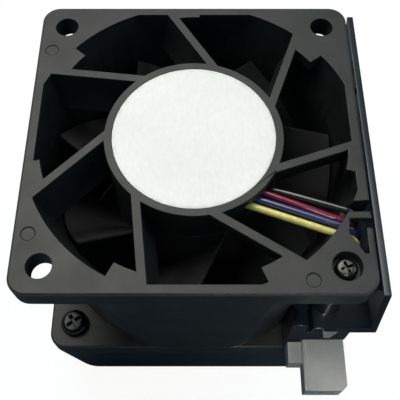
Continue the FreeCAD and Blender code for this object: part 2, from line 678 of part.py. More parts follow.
def side_cover():
    shelf = box((HOLE_OFFSET - SHELF_REACH, -HALF_SIDE, SHELF_FOOT),
                (cover_inner_x(SHELF_FOOT) + COVER_WALL / 2, SHELF_DEPTH - HOLE_OFFSET, SHELF_TOP))
    boss = cylinder(BOSS_RADIUS, SHELF_FOOT, FLANGE_UNDERSIDE, HOLE_OFFSET, -HOLE_OFFSET)
    peg = cylinder(HOLE_RADIUS - PEG_CLEARANCE, INTAKE_FACE + REST_GAP, INTAKE_FLANGE_TOP + CUT_OVER / 2,
                   HOLE_OFFSET, -HOLE_OFFSET)
    hook_top = FLANGE_UNDERSIDE - REST_GAP
    hook_far = HALF_SIDE - HOOK_START
    hook = box((HALF_SIDE - HOOK_REACH, hook_far - HOOK_LENGTH, hook_top - HOOK_THICKNESS),
               (cover_inner_x(hook_top) + COVER_WALL / 2, hook_far, hook_top))
    cover = cover_wall().fuse([cover_skirt(), shelf, boss, plug_holder(), peg, hook, shelf_catch()])
    pilot_foot = FLANGE_UNDERSIDE - COVER_SCREW_REACH - CUT_OVER
    pilot = cylinder(SCREW_RADIUS + SEAT, pilot_foot, FLANGE_UNDERSIDE + CUT_OVER, HOLE_OFFSET, -HOLE_OFFSET)
    return cover.cut([barrel_outside(REST_GAP), pilot]).removeSplitter()


# Plug and leads

def way_places():
    """The places of the plug's ways, from left to right."""
    first = PLUG_MIDDLE - PLUG_PITCH * (PLUG_WAYS - 1) / 2
    return [first + PLUG_PITCH * way for way in range(PLUG_WAYS)]


def connector_housing():
    body = box((PLUG_LEFT, PLUG_FRONT, PLUG_FOOT), (PLUG_RIGHT, PLUG_BACK, PLUG_TOP))
    corner = [edge for edge in body.Edges
              if all(abs(vertex.X - PLUG_RIGHT) < SEAT and abs(vertex.Y - PLUG_FRONT) < SEAT
                     for vertex in edge.Vertexes)]
    body = body.makeChamfer(PLUG_CHAMFER, corner)
    rib = box((PLUG_LEFT, PLUG_FRONT, PLUG_TOP - SEAT),
              (PLUG_LEFT + PLUG_RIB_WIDTH, PLUG_BACK, PLUG_TOP + PLUG_RIB_HEIGHT))
    ear_back = -HALF_SIDE - EAR_GAP
    ear = box((PLUG_LEFT - EAR_WIDTH, ear_back - EAR_LENGTH, PLUG_FOOT),
              (PLUG_LEFT + SEAT, ear_back, PLUG_TOP - EAR_DROP))
    half = PLUG_CAVITY / 2
    cavities = [box((x - half, PLUG_FRONT - CUT_OVER, WAY_LEVEL - half),
                    (x + half, PLUG_BACK + CUT_OVER, WAY_LEVEL + half))
                for x in way_places()]
    return body.fuse([rib, ear]).cut(cavities).removeSplitter()


def connector_terminals():
    """One socket contact per way, crimped on the lead's end."""
    half = TERMINAL_SIZE / 2
    back = PLUG_BACK - LEAD_GRIP
    terminals = []
    for x in way_places():
        body = box((x - half, PLUG_FRONT + TERMINAL_INSET, WAY_LEVEL - half),
                   (x + half, back, WAY_LEVEL + half))
        length = (back - PLUG_FRONT) / 2
        bore = Part.makeCylinder(TERMINAL_BORE / 2, length, Vector(x, PLUG_FRONT, WAY_LEVEL), Vector(0, 1, 0))
        terminals.append(body.cut(bore))
    return terminals


def along_heading(reach, offset, level):
    """A point by its distance along the leads' heading and its offset square to it."""
    angle = math.radians(LEAD_HEADING)
    x = reach * math.cos(angle) - offset * math.sin(angle)
    y = reach * math.sin(angle) + offset * math.cos(angle)
    return Vector(x, y, level)


def rounded_path(points):
    """A wire of straight runs with tangent arcs at the corners."""
    edges = []
    start = points[0]
    for index in range(1, len(points) - 1):
        corner = points[index]
        before = corner - points[index - 1]
        after = points[index + 1] - corner
        turn = before.getAngle(after)
        tangent = min(LEAD_BEND * math.tan(turn / 2), BEND_SHARE * before.Length, BEND_SHARE * after.Length)
        radius = tangent / math.tan(turn / 2)
        into = before.normalize()
        out = after.normalize()
        arc_start = corner - into * tangent
        arc_end = corner + out * tangent
        inward = (out - into).normalize()
        centre = corner + inward * (radius / math.cos(turn / 2))
        arc_middle = centre - inward * radius
        edges.append(Part.LineSegment(start, arc_start).toShape())
        edges.append(Part.Arc(arc_start, arc_middle, arc_end).toShape())
        start = arc_end
    edges.append(Part.LineSegment(start, points[-1]).toShape())
    return Part.Wire(edges)


def lead(name, points):
    """A round insulated wire along a path; its volume is compared with section times length."""
    path = rounded_path(points)
    first = points[1] - points[0]
    section = Part.Wire([Part.makeCircle(LEAD_RADIUS, points[0], first)])
    tube = path.makePipeShell([section], True, False)
    expected = math.pi * LEAD_RADIUS ** 2 * path.Length
    print(name, "length", round(path.Length, 1))
    print(name, "volume over section times length", round(tube.Volume / expected, 4))
    return tube


# The leads by their ways in the plug, from left to right, with the layer of the bundle that each one is in
# at the motor base and at the channel: red lies on black at the base and crosses under it on the way.
LEADS = {
    "wire_yellow": (0, 0),
    "wire_blue": (0, 0),
    "wire_red": (0, 1),
    "wire_black": (1, 0),
}


def lead_points(way, base_layer, channel_layer):
    """A lead's route from the board, through the channel and down behind the cover, into the plug."""
    offset = BUNDLE_FOOT + (BUNDLE_TOP - BUNDLE_FOOT) * way / (PLUG_WAYS - 1)
    rise = math.sqrt((BOARD_RADIUS - LEAD_BOARD_INSET) ** 2 - offset ** 2)
    heading = math.radians(LEAD_HEADING)
    drop = (HALF_SIDE - DROP_INSETS[way] + offset * math.sin(heading)) / math.cos(heading)
    base_level = LEAD_UPPER - LEAD_LAYER * base_layer
    channel_level = LEAD_UPPER - LEAD_LAYER * channel_layer
    x = way_places()[way]
    return [
        along_heading(rise, offset, BOARD_TOP),
        along_heading(rise, offset, base_level),
        along_heading(drop, offset, channel_level),
        along_heading(drop, offset, WAY_LEVEL + DROP_ENDS[way]),
        Vector(x, PLUG_BACK + LEAD_TURN, WAY_LEVEL),
        Vector(x, PLUG_BACK - LEAD_GRIP, WAY_LEVEL),
    ]


# Impeller

def blade_section(distance):
    """A cambered blade section in the plane at a distance from the axis."""
    share = (distance - HUB_RADIUS) / (TIP_RADIUS - HUB_RADIUS)
    reach = BLADE_ROOT_REACH + (BLADE_TIP_REACH - BLADE_ROOT_REACH) * share
    shift = -BLADE_TIP_SWEEP * share
    low = Vector(distance, shift - reach, INTAKE_FACE + BLADE_SETBACK)
    high = Vector(distance, shift + reach, BASE_FOOT - BLADE_GAP)
    along = (high - low).normalize()
    outside = Vector(0, along.z, -along.y)
    middle = (low + high) * 0.5 + outside * BLADE_CAMBER
    edge = outside * (BLADE_EDGE / 2)
    body = outside * (BLADE_THICKNESS / 2)
    suction = Part.Arc(low + edge, middle + body, high + edge)
    pressure = Part.Arc(high - edge, middle - body, low - edge)
    return Part.Wire([
        suction.toShape(),
        Part.LineSegment(high + edge, high - edge).toShape(),
        pressure.toShape(),
        Part.LineSegment(low - edge, low + edge).toShape(),
    ])


def blade():
    inner = HUB_RADIUS - HUB_WALL - BLADE_SPARE
    outer = TIP_RADIUS + BLADE_SPARE
    sections = [blade_section(distance) for distance in (inner, (inner + outer) / 2, outer)]
    blank = Part.makeLoft(sections, True, False)
    span = ring(TIP_RADIUS, HUB_RADIUS - HUB_WALL / 2, NOSE_LEVEL, HUB_END)
    return blank.common(span)


def hub():
    inside = HUB_RADIUS - HUB_WALL
    shoulder = HUB_RADIUS - NOSE_ROUNDING
    half_turn = NOSE_ROUNDING * math.sqrt(0.5)
    centre = Vector(shoulder, 0, NOSE_LEVEL + NOSE_ROUNDING)
    corner_middle = centre + Vector(half_turn, 0, -half_turn)
    points = [Vector(0, 0, NOSE_INSIDE), Vector(0, 0, NOSE_LEVEL), Vector(shoulder, 0, NOSE_LEVEL),
              Vector(HUB_RADIUS, 0, NOSE_LEVEL + NOSE_ROUNDING), Vector(HUB_RADIUS, 0, HUB_END),
              Vector(inside, 0, HUB_END), Vector(inside, 0, NOSE_INSIDE)]
    edges = [Part.LineSegment(a, b).toShape() for a, b in zip(points, points[1:] + points[:1])]
    edges[2] = Part.Arc(points[2], corner_middle, points[3]).toShape()
    return Part.Face(Part.Wire(edges)).revolve(ORIGIN, UP, 360)


def impeller():
    return hub().fuse(around(blade(), BLADE_COUNT)).removeSplitter()


# Rotor inside the hub

def rotor_yoke():
    inside = YOKE_RADIUS - YOKE_WALL
    hole = BUSH_RADIUS + SEAT
    return turned([
        (hole, NOSE_INSIDE),
        (YOKE_RADIUS, NOSE_INSIDE),
        (YOKE_RADIUS, YOKE_END),
        (inside, YOKE_END),
        (inside, YOKE_INSIDE),
        (hole, YOKE_INSIDE),
    ])


def rotor_magnet():
    return ring(MAGNET_RADIUS, MAGNET_BORE, CORE_START - MAGNET_OVERHANG, MAGNET_END)


def shaft_bush():
    return ring(BUSH_RADIUS, SHAFT_RADIUS + SEAT, NOSE_INSIDE, BUSH_END)


def shaft():
    groove = SHAFT_RADIUS - GROOVE_DEPTH
    groove_end = CLIP_LEVEL + CLIP_THICKNESS + SEAT
    return turned([
        (0, SHAFT_START),
        (SHAFT_RADIUS - SHAFT_CHAMFER, SHAFT_START),
        (SHAFT_RADIUS, SHAFT_START + SHAFT_CHAMFER),
        (SHAFT_RADIUS, CLIP_LEVEL - SEAT),
        (groove, CLIP_LEVEL - SEAT),
        (groove, groove_end),
        (SHAFT_RADIUS, groove_end),
        (SHAFT_RADIUS, SHAFT_END - SHAFT_CHAMFER),
        (SHAFT_RADIUS - SHAFT_CHAMFER, SHAFT_END),
        (0, SHAFT_END),
    ])


def retaining_clip():
    """An open ring that snaps into the shaft's groove."""
    top = CLIP_LEVEL + CLIP_THICKNESS
    outer = SHAFT_RADIUS + CLIP_WIDTH
    body = ring(outer, SHAFT_RADIUS - GROOVE_DEPTH + SEAT, CLIP_LEVEL, top)
    half = CLIP_OPENING / 2
    mouth = box((0, -half, CLIP_LEVEL - CUT_OVER), (outer + CUT_OVER, half, top + CUT_OVER))
    return body.cut(mouth)


def preload_spring():
    """A dished washer between the bush and the inner ring of the intake side bearing."""
    inner = SHAFT_RADIUS + REST_GAP
    outer = inner + SPRING_WIDTH
    foot = BUSH_END + SEAT
    top = LOWER_BEARING - SEAT
    return turned([
        (inner, top - SPRING_THICKNESS),
        (outer, foot),
        (outer, foot + SPRING_THICKNESS),
        (inner, top),
    ])


# Bearings

def race(level):
    """The round groove that the balls run in, at a bearing's middle."""
    middle = Vector(0, 0, level + BEARING_WIDTH / 2)
    return Part.makeTorus(BALL_PITCH_RADIUS, BALL_RADIUS + RUNNING, middle, UP)


def bearing_outer_ring(level):
    body = ring(BEARING_RADIUS, BALL_PITCH_RADIUS + RACE_SHOULDER, level, level + BEARING_WIDTH)
    return body.cut(race(level))


def bearing_inner_ring(level):
    body = ring(BALL_PITCH_RADIUS - RACE_SHOULDER, SHAFT_RADIUS + SEAT, level, level + BEARING_WIDTH)
    return body.cut(race(level))


def bearing_balls(level):
    ball = Part.makeSphere(BALL_RADIUS, Vector(BALL_PITCH_RADIUS, 0, level + BEARING_WIDTH / 2))
    return around(ball, BALL_COUNT)


def bearing_cage(level):
    """A crown cage: a ring under the balls, with fingers between them."""
    middle = level + BEARING_WIDTH / 2
    foot = level + SHIELD_INSET + SHIELD_THICKNESS + RUNNING
    outer = BALL_PITCH_RADIUS + CAGE_HALF_WIDTH
    inner = BALL_PITCH_RADIUS - CAGE_HALF_WIDTH
    body = ring(outer, inner, foot, middle + CAGE_FINGER)
    pocket = Part.makeSphere(BALL_RADIUS + RUNNING, Vector(BALL_PITCH_RADIUS, 0, middle))
    return body.cut(around(pocket, BALL_COUNT))


def bearing_shields(level):
    outer = BALL_PITCH_RADIUS + RACE_SHOULDER - SEAT
    inner = BALL_PITCH_RADIUS - RACE_SHOULDER + RUNNING
    lower = level + SHIELD_INSET
    upper = level + BEARING_WIDTH - SHIELD_INSET - SHIELD_THICKNESS
    return [ring(outer, inner, foot, foot + SHIELD_THICKNESS) for foot in (lower, upper)]


def bearing_tube():
    """The brass tube in the base's boss, stepped inside so that each bearing has a seat."""
    step = TUBE_BORE - TUBE_STEP
    lower_seat = LOWER_BEARING + BEARING_WIDTH + SEAT
    upper_seat = UPPER_BEARING - SEAT
    return turned([
        (TUBE_BORE, TUBE_START),
        (TUBE_RADIUS, TUBE_START),
        (TUBE_RADIUS, TUBE_END),
        (TUBE_BORE, TUBE_END),
        (TUBE_BORE, upper_seat),
        (step, upper_seat),
        (step, lower_seat),
        (TUBE_BORE, lower_seat),
    ])


# Stator

def pole_plate(foot, top, shoe_radius, pole_width):
    """A lamination outline with its ring, poles and shoes."""
    ring_radius = CORE_BORE + CORE_RING_WALL
    half = pole_width / 2
    pole = box((CORE_BORE + CORE_RING_WALL / 2, -half, foot), (shoe_radius - POLE_SHOE / 2, half, top))
    half_shoe = (360.0 / POLE_COUNT - SLOT_OPENING) / 2
    shoe = sector(shoe_radius, shoe_radius - POLE_SHOE, -half_shoe, half_shoe, foot, top)
    tooth = pole.fuse(shoe)
    return ring(ring_radius, CORE_BORE, foot, top).fuse(around(tooth, POLE_COUNT)).removeSplitter()


def stator_core():
    return pole_plate(CORE_START, CORE_END, CORE_RADIUS, POLE_WIDTH)


def insulator(foot, lip_foot):
    """A moulded end plate of the core, with a lip on each shoe that keeps the winding in."""
    plate = pole_plate(foot, foot + INSULATOR_THICKNESS, CORE_RADIUS, POLE_WIDTH)
    half_shoe = (360.0 / POLE_COUNT - SLOT_OPENING) / 2
    lip = sector(CORE_RADIUS, CORE_RADIUS - POLE_SHOE, -half_shoe, half_shoe,
                 lip_foot, lip_foot + INSULATOR_LIP)
    return plate.fuse(around(lip, POLE_COUNT)).removeSplitter()


def stator_windings():
    """One coil round each pole, between the ring and the shoe."""
    inner = CORE_BORE + CORE_RING_WALL + COIL_CLEARANCE
    half = POLE_WIDTH / 2 + COIL_CLEARANCE
    outer = math.sqrt((CORE_RADIUS - POLE_SHOE) ** 2 - (half + COIL_WALL) ** 2) - COIL_CLEARANCE
    foot = CORE_START - INSULATOR_THICKNESS - COIL_CLEARANCE
    top = CORE_END + INSULATOR_THICKNESS + COIL_CLEARANCE
    body = box((inner, -half - COIL_WALL, foot - COIL_WALL), (outer, half + COIL_WALL, top + COIL_WALL))
    long_edges = [edge for edge in body.Edges if edge.Vertexes[0].X != edge.Vertexes[1].X]
    body = body.makeFillet(COIL_ROUNDING, long_edges)
    coil = body.cut(box((inner - CUT_OVER, -half, foot), (outer + CUT_OVER, half, top)))
    return around(coil, POLE_COUNT)


def pin_places():
    """The winding pins stand on the insulator's lips, one to a pole."""
    radius = CORE_RADIUS - POLE_SHOE / 2
    return [at(radius, 360.0 / POLE_COUNT * index) for index in range(POLE_COUNT)]


def winding_pins():
    foot = CORE_END + INSULATOR_THICKNESS + INSULATOR_LIP - PIN_SEAT
    return [cylinder(PIN_RADIUS, foot, BOARD_TOP + PIN_PROUD, place.x, place.y) for place in pin_places()]


def upper_insulator():
    body = insulator(CORE_END, CORE_END + INSULATOR_THICKNESS)
    top = CORE_END + INSULATOR_THICKNESS + INSULATOR_LIP
    sockets = [cylinder(PIN_RADIUS + SEAT, top - PIN_SEAT, top + CUT_OVER, place.x, place.y)
               for place in pin_places()]
    return body.cut(sockets)


def lower_insulator():
    foot = CORE_START - INSULATOR_THICKNESS
    return insulator(foot, foot - INSULATOR_LIP)


# Circuit board

def on_board(size, radius, degrees, foot):
    """A small block on the board, turned to face the axis."""
    depth, width, height = size
    block = box((radius - depth / 2, -width / 2, foot), (radius + depth / 2, width / 2, foot + height))
    return turned_copy(block, degrees)


def circuit_board():
    body = ring(BOARD_RADIUS, TUBE_RADIUS + BOARD_EDGE_GAP, BOARD_FOOT, BOARD_TOP)
    holes = [cylinder(PIN_RADIUS + SEAT, BOARD_FOOT - CUT_OVER, BOARD_TOP + CUT_OVER, place.x, place.y)
             for place in pin_places()]
    return body.cut(holes)


def hall_sensor():
    """The sensor hangs under the board, over the magnet's end."""
    return on_board(HALL_SIZE, (MAGNET_RADIUS + MAGNET_BORE) / 2, HALL_ANGLE, BOARD_FOOT - HALL_SIZE[2])


def board_resistors():
    return [on_board(RESISTOR_SIZE, BOARD_MIDDLE, angle, BOARD_TOP) for angle in RESISTOR_ANGLES]


def capacitor():
    place = at(BOARD_MIDDLE, CAPACITOR_ANGLE)
    return cylinder(CAPACITOR_RADIUS, BOARD_TOP, BOARD_TOP + CAPACITOR_HEIGHT, place.x, place.y)


# Write every piece

os.makedirs(PARTS_FOLDER, exist_ok=True)
save("fan_frame", fan_frame())
save("label", label())
save("intake_collar", intake_collar())
save("collar_screws", *collar_screws())
save("side_cover", side_cover())
save("cover_screw", cover_screw())
save("connector_housing", connector_housing())
save("connector_terminals", *connector_terminals())
for lead_way, (lead_name, layers) in enumerate(LEADS.items()):
    save(lead_name, lead(lead_name, lead_points(lead_way, *layers)))
save("impeller", impeller())
save("rotor_yoke", rotor_yoke())
save("rotor_magnet", rotor_magnet())
save("shaft_bush", shaft_bush())
save("shaft", shaft())
save("retaining_clip", retaining_clip())
save("preload_spring", preload_spring())
save("bearing_tube", bearing_tube())
for bearing, bearing_level in (("lower_bearing", LOWER_BEARING), ("upper_bearing", UPPER_BEARING)):
    save(bearing + "_outer_ring", bearing_outer_ring(bearing_level))
    save(bearing + "_inner_ring", bearing_inner_ring(bearing_level))
    save(bearing + "_balls", *bearing_balls(bearing_level))
    save(bearing + "_cage", bearing_cage(bearing_level))
    save(bearing + "_shields", *bearing_shields(bearing_level))
save("stator_core", stator_core())
save("upper_insulator", upper_insulator())
save("lower_insulator", lower_insulator())
save("stator_windings", *stator_windings())
save("winding_pins", *winding_pins())
save("circuit_board", circuit_board())
save("hall_sensor", hall_sensor())
save("driver_chip", on_board(CHIP_SIZE, BOARD_MIDDLE, CHIP_ANGLE, BOARD_TOP))
save("capacitor", capacitor())
save("board_resistors", *board_resistors())
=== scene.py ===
# %% [markdown]
# # Dressing a server cooling fan
# The solids of the fan come in as a fixed frame: every piece is already in its place, in metres, and the
# air blows up along +Z. This lesson gives each piece the finish of the real one, rounds the edges that no
# mould leaves sharp, models the small parts that the solids only stand in for, and lights the fan on a
# white table.
#
# The box round the solids is kept, because the dressed fan may not grow out of it.

# %% Load the solids
import json
import math
import bpy
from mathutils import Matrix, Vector


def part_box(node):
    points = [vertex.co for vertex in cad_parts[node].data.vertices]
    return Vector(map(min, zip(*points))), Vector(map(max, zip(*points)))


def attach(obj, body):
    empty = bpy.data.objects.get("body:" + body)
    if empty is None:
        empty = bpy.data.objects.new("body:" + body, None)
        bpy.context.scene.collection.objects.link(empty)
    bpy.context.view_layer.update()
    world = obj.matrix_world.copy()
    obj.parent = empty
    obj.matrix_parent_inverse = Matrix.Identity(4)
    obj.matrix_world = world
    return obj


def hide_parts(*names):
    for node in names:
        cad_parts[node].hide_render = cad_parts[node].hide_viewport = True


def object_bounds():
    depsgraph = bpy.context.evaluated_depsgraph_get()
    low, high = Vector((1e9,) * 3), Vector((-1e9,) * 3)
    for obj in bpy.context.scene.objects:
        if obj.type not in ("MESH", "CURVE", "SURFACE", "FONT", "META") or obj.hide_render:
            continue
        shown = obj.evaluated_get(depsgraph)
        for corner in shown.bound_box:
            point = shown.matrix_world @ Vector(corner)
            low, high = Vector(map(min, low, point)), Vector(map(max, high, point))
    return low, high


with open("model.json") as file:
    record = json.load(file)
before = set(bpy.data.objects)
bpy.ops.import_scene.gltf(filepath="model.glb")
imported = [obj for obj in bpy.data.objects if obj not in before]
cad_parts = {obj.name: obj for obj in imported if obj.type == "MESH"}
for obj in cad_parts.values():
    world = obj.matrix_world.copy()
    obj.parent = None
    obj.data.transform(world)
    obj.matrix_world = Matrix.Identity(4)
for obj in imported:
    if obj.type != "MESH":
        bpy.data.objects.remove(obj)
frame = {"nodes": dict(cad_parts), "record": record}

MM = 0.001
cad_box = [list(corner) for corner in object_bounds()]


def in_millimetres(box):
    return [[round(x / MM, 2) for x in corner] for corner in box]


print("solids:", len(frame["nodes"]), "box in mm:", in_millimetres(cad_box))

# %% [markdown]
# ## Working on one object at a time
# An operator acts on whatever is selected, and the solids arrive selected. So each piece is picked by
# itself first: everything else is deselected, and the piece becomes the active object. Inside edit mode
# the same holds for faces: they are picked by where they are or which way they point, as a hand with a
# mouse would.

# %% Picking helpers
def pick(piece):
    """Selects one object and nothing else."""
    if bpy.context.mode != "OBJECT":
        bpy.ops.object.mode_set(mode="OBJECT")
    bpy.ops.object.select_all(action="DESELECT")
    piece.select_set(True)
    bpy.context.view_layer.objects.active = piece


def pick_faces(piece, wanted):
    """In edit mode, selects the faces for which wanted(face) is true."""
    bpy.ops.object.mode_set(mode="EDIT")
    bpy.ops.mesh.select_mode(type="FACE")
    bpy.ops.mesh.select_all(action="DESELECT")
    bpy.ops.object.mode_set(mode="OBJECT")
    for face in piece.data.polygons:
        face.select = wanted(face)
    bpy.ops.object.mode_set(mode="EDIT")


# a face looks along an axis where at least this much of its normal lies along it
STRAIGHT = 0.9


def looks_up(face):
    return face.normal.z > STRAIGHT


def looks_down(face):
    return face.normal.z < -STRAIGHT


def looks_sideways(face):
    return abs(face.normal.z) < 1 - STRAIGHT


def own_place(piece):
    """Moves an object's place into its mesh, so that the object sits at the origin."""
    pick(piece)
    bpy.ops.object.transform_apply(location=True, rotation=True, scale=True)


# %% [markdown]
# ## Small words for shader nodes
# A finish is a little network of nodes. Written out in full, each node takes five lines, and the idea
# drowns. These helpers add one node each and hand back the socket that the next one needs, so that a
# finish reads like a recipe: noise, spread to a range, mix two colours.

# %% Node helpers
def feed(tree, socket, value):
    """Links a socket to another socket, or sets it to a plain value."""
    if isinstance(value, bpy.types.NodeSocket):
        tree.links.new(value, socket)
    else:
        socket.default_value = value


# nearly all of a noise lies in this range
NOISE_RANGE = (0.3, 0.7)


def noise(tree, vector, scale, detail=3.0, roughness=0.55):
    node = tree.nodes.new("ShaderNodeTexNoise")
    feed(tree, node.inputs["Vector"], vector)
    feed(tree, node.inputs["Scale"], scale)
    feed(tree, node.inputs["Detail"], detail)
    feed(tree, node.inputs["Roughness"], roughness)
    return node.outputs["Fac"]


def cells(tree, vector, scale):
    node = tree.nodes.new("ShaderNodeTexVoronoi")
    feed(tree, node.inputs["Vector"], vector)
    feed(tree, node.inputs["Scale"], scale)
    return node.outputs["Distance"]


def stretched(tree, vector, scale, turn=0.0):
    """Coordinates with a scale of their own along each axis, turned about the upright one."""
    node = tree.nodes.new("ShaderNodeMapping")
    feed(tree, node.inputs["Vector"], vector)
    node.inputs["Scale"].default_value = scale
    node.inputs["Rotation"].default_value = (0.0, 0.0, turn)
    return node.outputs["Vector"]


FLATTENED = (1.0, 1.0, 0.0)


def off_axis(tree, vector):
    """The distance of a point from the fan's axis."""
    node = tree.nodes.new("ShaderNodeVectorMath")
    node.operation = "LENGTH"
    feed(tree, node.inputs[0], stretched(tree, vector, FLATTENED))
    return node.outputs["Value"]


def calculate(tree, operation, first, second=0.0):
    node = tree.nodes.new("ShaderNodeMath")
    node.operation = operation
    feed(tree, node.inputs[0], first)
    feed(tree, node.inputs[1], second)
    return node.outputs[0]


def spread(tree, value, low, high, to_low=0.0, to_high=1.0):
    """Stretches the part of a value between low and high to another range."""
    node = tree.nodes.new("ShaderNodeMapRange")
    feed(tree, node.inputs["Value"], value)
    node.inputs["From Min"].default_value = low
    node.inputs["From Max"].default_value = high
    feed(tree, node.inputs["To Min"], to_low)
    feed(tree, node.inputs["To Max"], to_high)
    return node.outputs["Result"]


# the places of a Mix node's colour sockets
MIX_FIRST, MIX_SECOND, MIX_RESULT = 6, 7, 2


def mix(tree, share, first, second):
    """A colour between two colours."""
    node = tree.nodes.new("ShaderNodeMix")
    node.data_type = "RGBA"
    feed(tree, node.inputs["Factor"], share)
    feed(tree, node.inputs[MIX_FIRST], first)
    feed(tree, node.inputs[MIX_SECOND], second)
    return node.outputs[MIX_RESULT]


def bump(tree, height, depth, strength=1.0):
    """A normal from a height; depth is how tall a height of 1 stands, in metres."""
    node = tree.nodes.new("ShaderNodeBump")
    node.inputs["Strength"].default_value = strength
    node.inputs["Distance"].default_value = depth
    feed(tree, node.inputs["Height"], height)
    return node.outputs["Normal"]


def shade(colour, factor):
    """A written colour made darker or lighter."""
    return tuple(channel * factor for channel in colour) + (1.0,)


# %% [markdown]
# ## Three effects that many finishes share
# Nearly every piece here is a moulding that has been handled, so three effects come back all the time:
# the fine grain that an eroded mould leaves, the rub marks of hands and tools, and dust on what faces up.
# Each one is a node group. It is built once, its inputs have names, and every finish places it with
# values of its own.

# %% Start a group
VECTOR = "NodeSocketVector"
NUMBER = "NodeSocketFloat"


def new_group(name, inputs, outputs):
    """An empty group: its tree, what comes in and what goes out. All that goes out is numbers."""
    group = bpy.data.node_groups.new(name, "ShaderNodeTree")
    for socket, kind in inputs:
        group.interface.new_socket(name=socket, in_out="INPUT", socket_type=kind)
    for socket in outputs:
        group.interface.new_socket(name=socket, in_out="OUTPUT", socket_type=NUMBER)
    source = group.nodes.new("NodeGroupInput")
    result = group.nodes.new("NodeGroupOutput")
    return group, source.outputs, result.inputs


def place_group(tree, group, **values):
    """Adds a group to a material; an input's name is written with underscores."""
    node = tree.nodes.new("ShaderNodeGroup")
    node.node_tree = group
    for name, value in values.items():
        feed(tree, node.inputs[name.replace("_", " ")], value)
    return node.outputs


# %% [markdown]
# ### Mould grain
# Spark erosion leaves a mould covered in tiny pits, and the plastic copies them: a fine noise with some
# round cells in it. The same group puts out a slow mottle, because the glass fibres in such plastic never
# spread evenly.

# %% Mould grain group
PIT_SCALE = 0.6
PIT_REACH, PIT_FLOOR = 0.5, 0.6
MOTTLE_SCALE = 0.04
mould_grain, source, result = new_group(
    "mould_grain", [("Vector", VECTOR), ("Grain", NUMBER)], ["Height", "Mottle"])
fine = noise(mould_grain, source["Vector"], source["Grain"], detail=2.0)
pits = cells(mould_grain, source["Vector"], calculate(mould_grain, "MULTIPLY", source["Grain"], PIT_SCALE))
hollow = spread(mould_grain, pits, 0.0, PIT_REACH, to_low=PIT_FLOOR)
feed(mould_grain, result["Height"], calculate(mould_grain, "MULTIPLY", fine, hollow))
slow_scale = calculate(mould_grain, "MULTIPLY", source["Grain"], MOTTLE_SCALE)
slow = noise(mould_grain, source["Vector"], slow_scale, detail=5.0)
feed(mould_grain, result["Mottle"], spread(mould_grain, slow, *NOISE_RANGE))
print("group", mould_grain.name)

# %% [markdown]
# ### Rub marks
# Hands, tools and the rails of a rack leave thin scratches that run in a few directions, close together
# in some places and absent in others. Two noises, pulled long in different directions, give the lines,
# and a third, slow one says where they are.

# %% Rub marks group
# a cut turns a noise into lines or patches: none below its first value, full above its second
ONE_STRETCH, ONE_TURN, ONE_CUT = (1.0, 0.06, 0.3), math.radians(28), (0.66, 0.74)
OTHER_STRETCH, OTHER_TURN, OTHER_CUT = (0.05, 1.0, 0.3), math.radians(-12), (0.67, 0.76)
PATCH_SCALE, PATCH_CUT = 0.05, (0.42, 0.66)
rub_marks, source, result = new_group(
    "rub_marks", [("Vector", VECTOR), ("Lines", NUMBER), ("Amount", NUMBER)], ["Mask"])
one_way = stretched(rub_marks, source["Vector"], ONE_STRETCH, ONE_TURN)
other_way = stretched(rub_marks, source["Vector"], OTHER_STRETCH, OTHER_TURN)
scratch_one = spread(rub_marks, noise(rub_marks, one_way, source["Lines"], detail=2.0), *ONE_CUT)
scratch_two = spread(rub_marks, noise(rub_marks, other_way, source["Lines"], detail=2.0), *OTHER_CUT)
patch_scale = calculate(rub_marks, "MULTIPLY", source["Lines"], PATCH_SCALE)
where = spread(rub_marks, noise(rub_marks, source["Vector"], patch_scale), *PATCH_CUT)
either_way = calculate(rub_marks, "MAXIMUM", scratch_one, scratch_two)
scratches = calculate(rub_marks, "MULTIPLY", either_way, where)
feed(rub_marks, result["Mask"], calculate(rub_marks, "MULTIPLY", scratches, source["Amount"]))
print("group", rub_marks.name)

# %% [markdown]
# ### Settled dust
# Dust lies on what faces up, in soft clouds with a few specks. The material tells the group how far a
# face looks up, and the group breaks that up with noise.

# %% Settled dust group
CLOUD_SCALE, CLOUD_CUT, CLOUD_COVER = 160.0, (0.4, 0.75), 0.6
SPECK_SCALE, SPECK_CUT = 2600.0, (0.68, 0.74)
LYING_CUT = (0.35, 0.95)
settled_dust, source, result = new_group(
    "settled_dust", [("Vector", VECTOR), ("Facing Up", NUMBER), ("Amount", NUMBER)], ["Mask"])
cloud_noise = noise(settled_dust, source["Vector"], CLOUD_SCALE, detail=6.0, roughness=0.62)
clouds = calculate(settled_dust, "MULTIPLY", spread(settled_dust, cloud_noise, *CLOUD_CUT), CLOUD_COVER)
speck_noise = noise(settled_dust, source["Vector"], SPECK_SCALE, detail=2.0)
specks = spread(settled_dust, speck_noise, *SPECK_CUT)
either_kind = calculate(settled_dust, "MAXIMUM", clouds, specks)
lying = spread(settled_dust, source["Facing Up"], *LYING_CUT)
dusty = calculate(settled_dust, "MULTIPLY", either_kind, lying)
feed(settled_dust, result["Mask"], calculate(settled_dust, "MULTIPLY", dusty, source["Amount"]))
print("group", settled_dust.name)

# %% [markdown]
# ## Moulded plastics
# The frame, collar, cover and impeller are black plastic, and what sets them apart is the skin: the cover
# came from a polished mould, the others from eroded ones. One recipe makes them all, with the colour,
# roughness, grain and wear of each. On black plastic the light does the drawing: the top faces shine grey
# under the lamp and the sides stay nearly black, so the written colours are dark. Those of the cover and
# the collar lean towards navy, a painted blue shade for their dark sides. The plug is the one pale
# moulding.

# %% Plastic recipe
def start_material(name):
    """A new node material: its tree, its shader and the object's own coordinates."""
    material = bpy.data.materials.new(name)
    material.use_nodes = True
    tree = material.node_tree
    place = tree.nodes.new("ShaderNodeTexCoord").outputs["Object"]
    return material, tree, tree.nodes["Principled BSDF"].inputs, place


def facing_up(tree):
    """How far a face looks up, from -1 to 1."""
    parts = tree.nodes.new("ShaderNodeSeparateXYZ")
    feed(tree, parts.inputs[0], tree.nodes.new("ShaderNodeNewGeometry").outputs["Normal"])
    return parts.outputs["Z"]


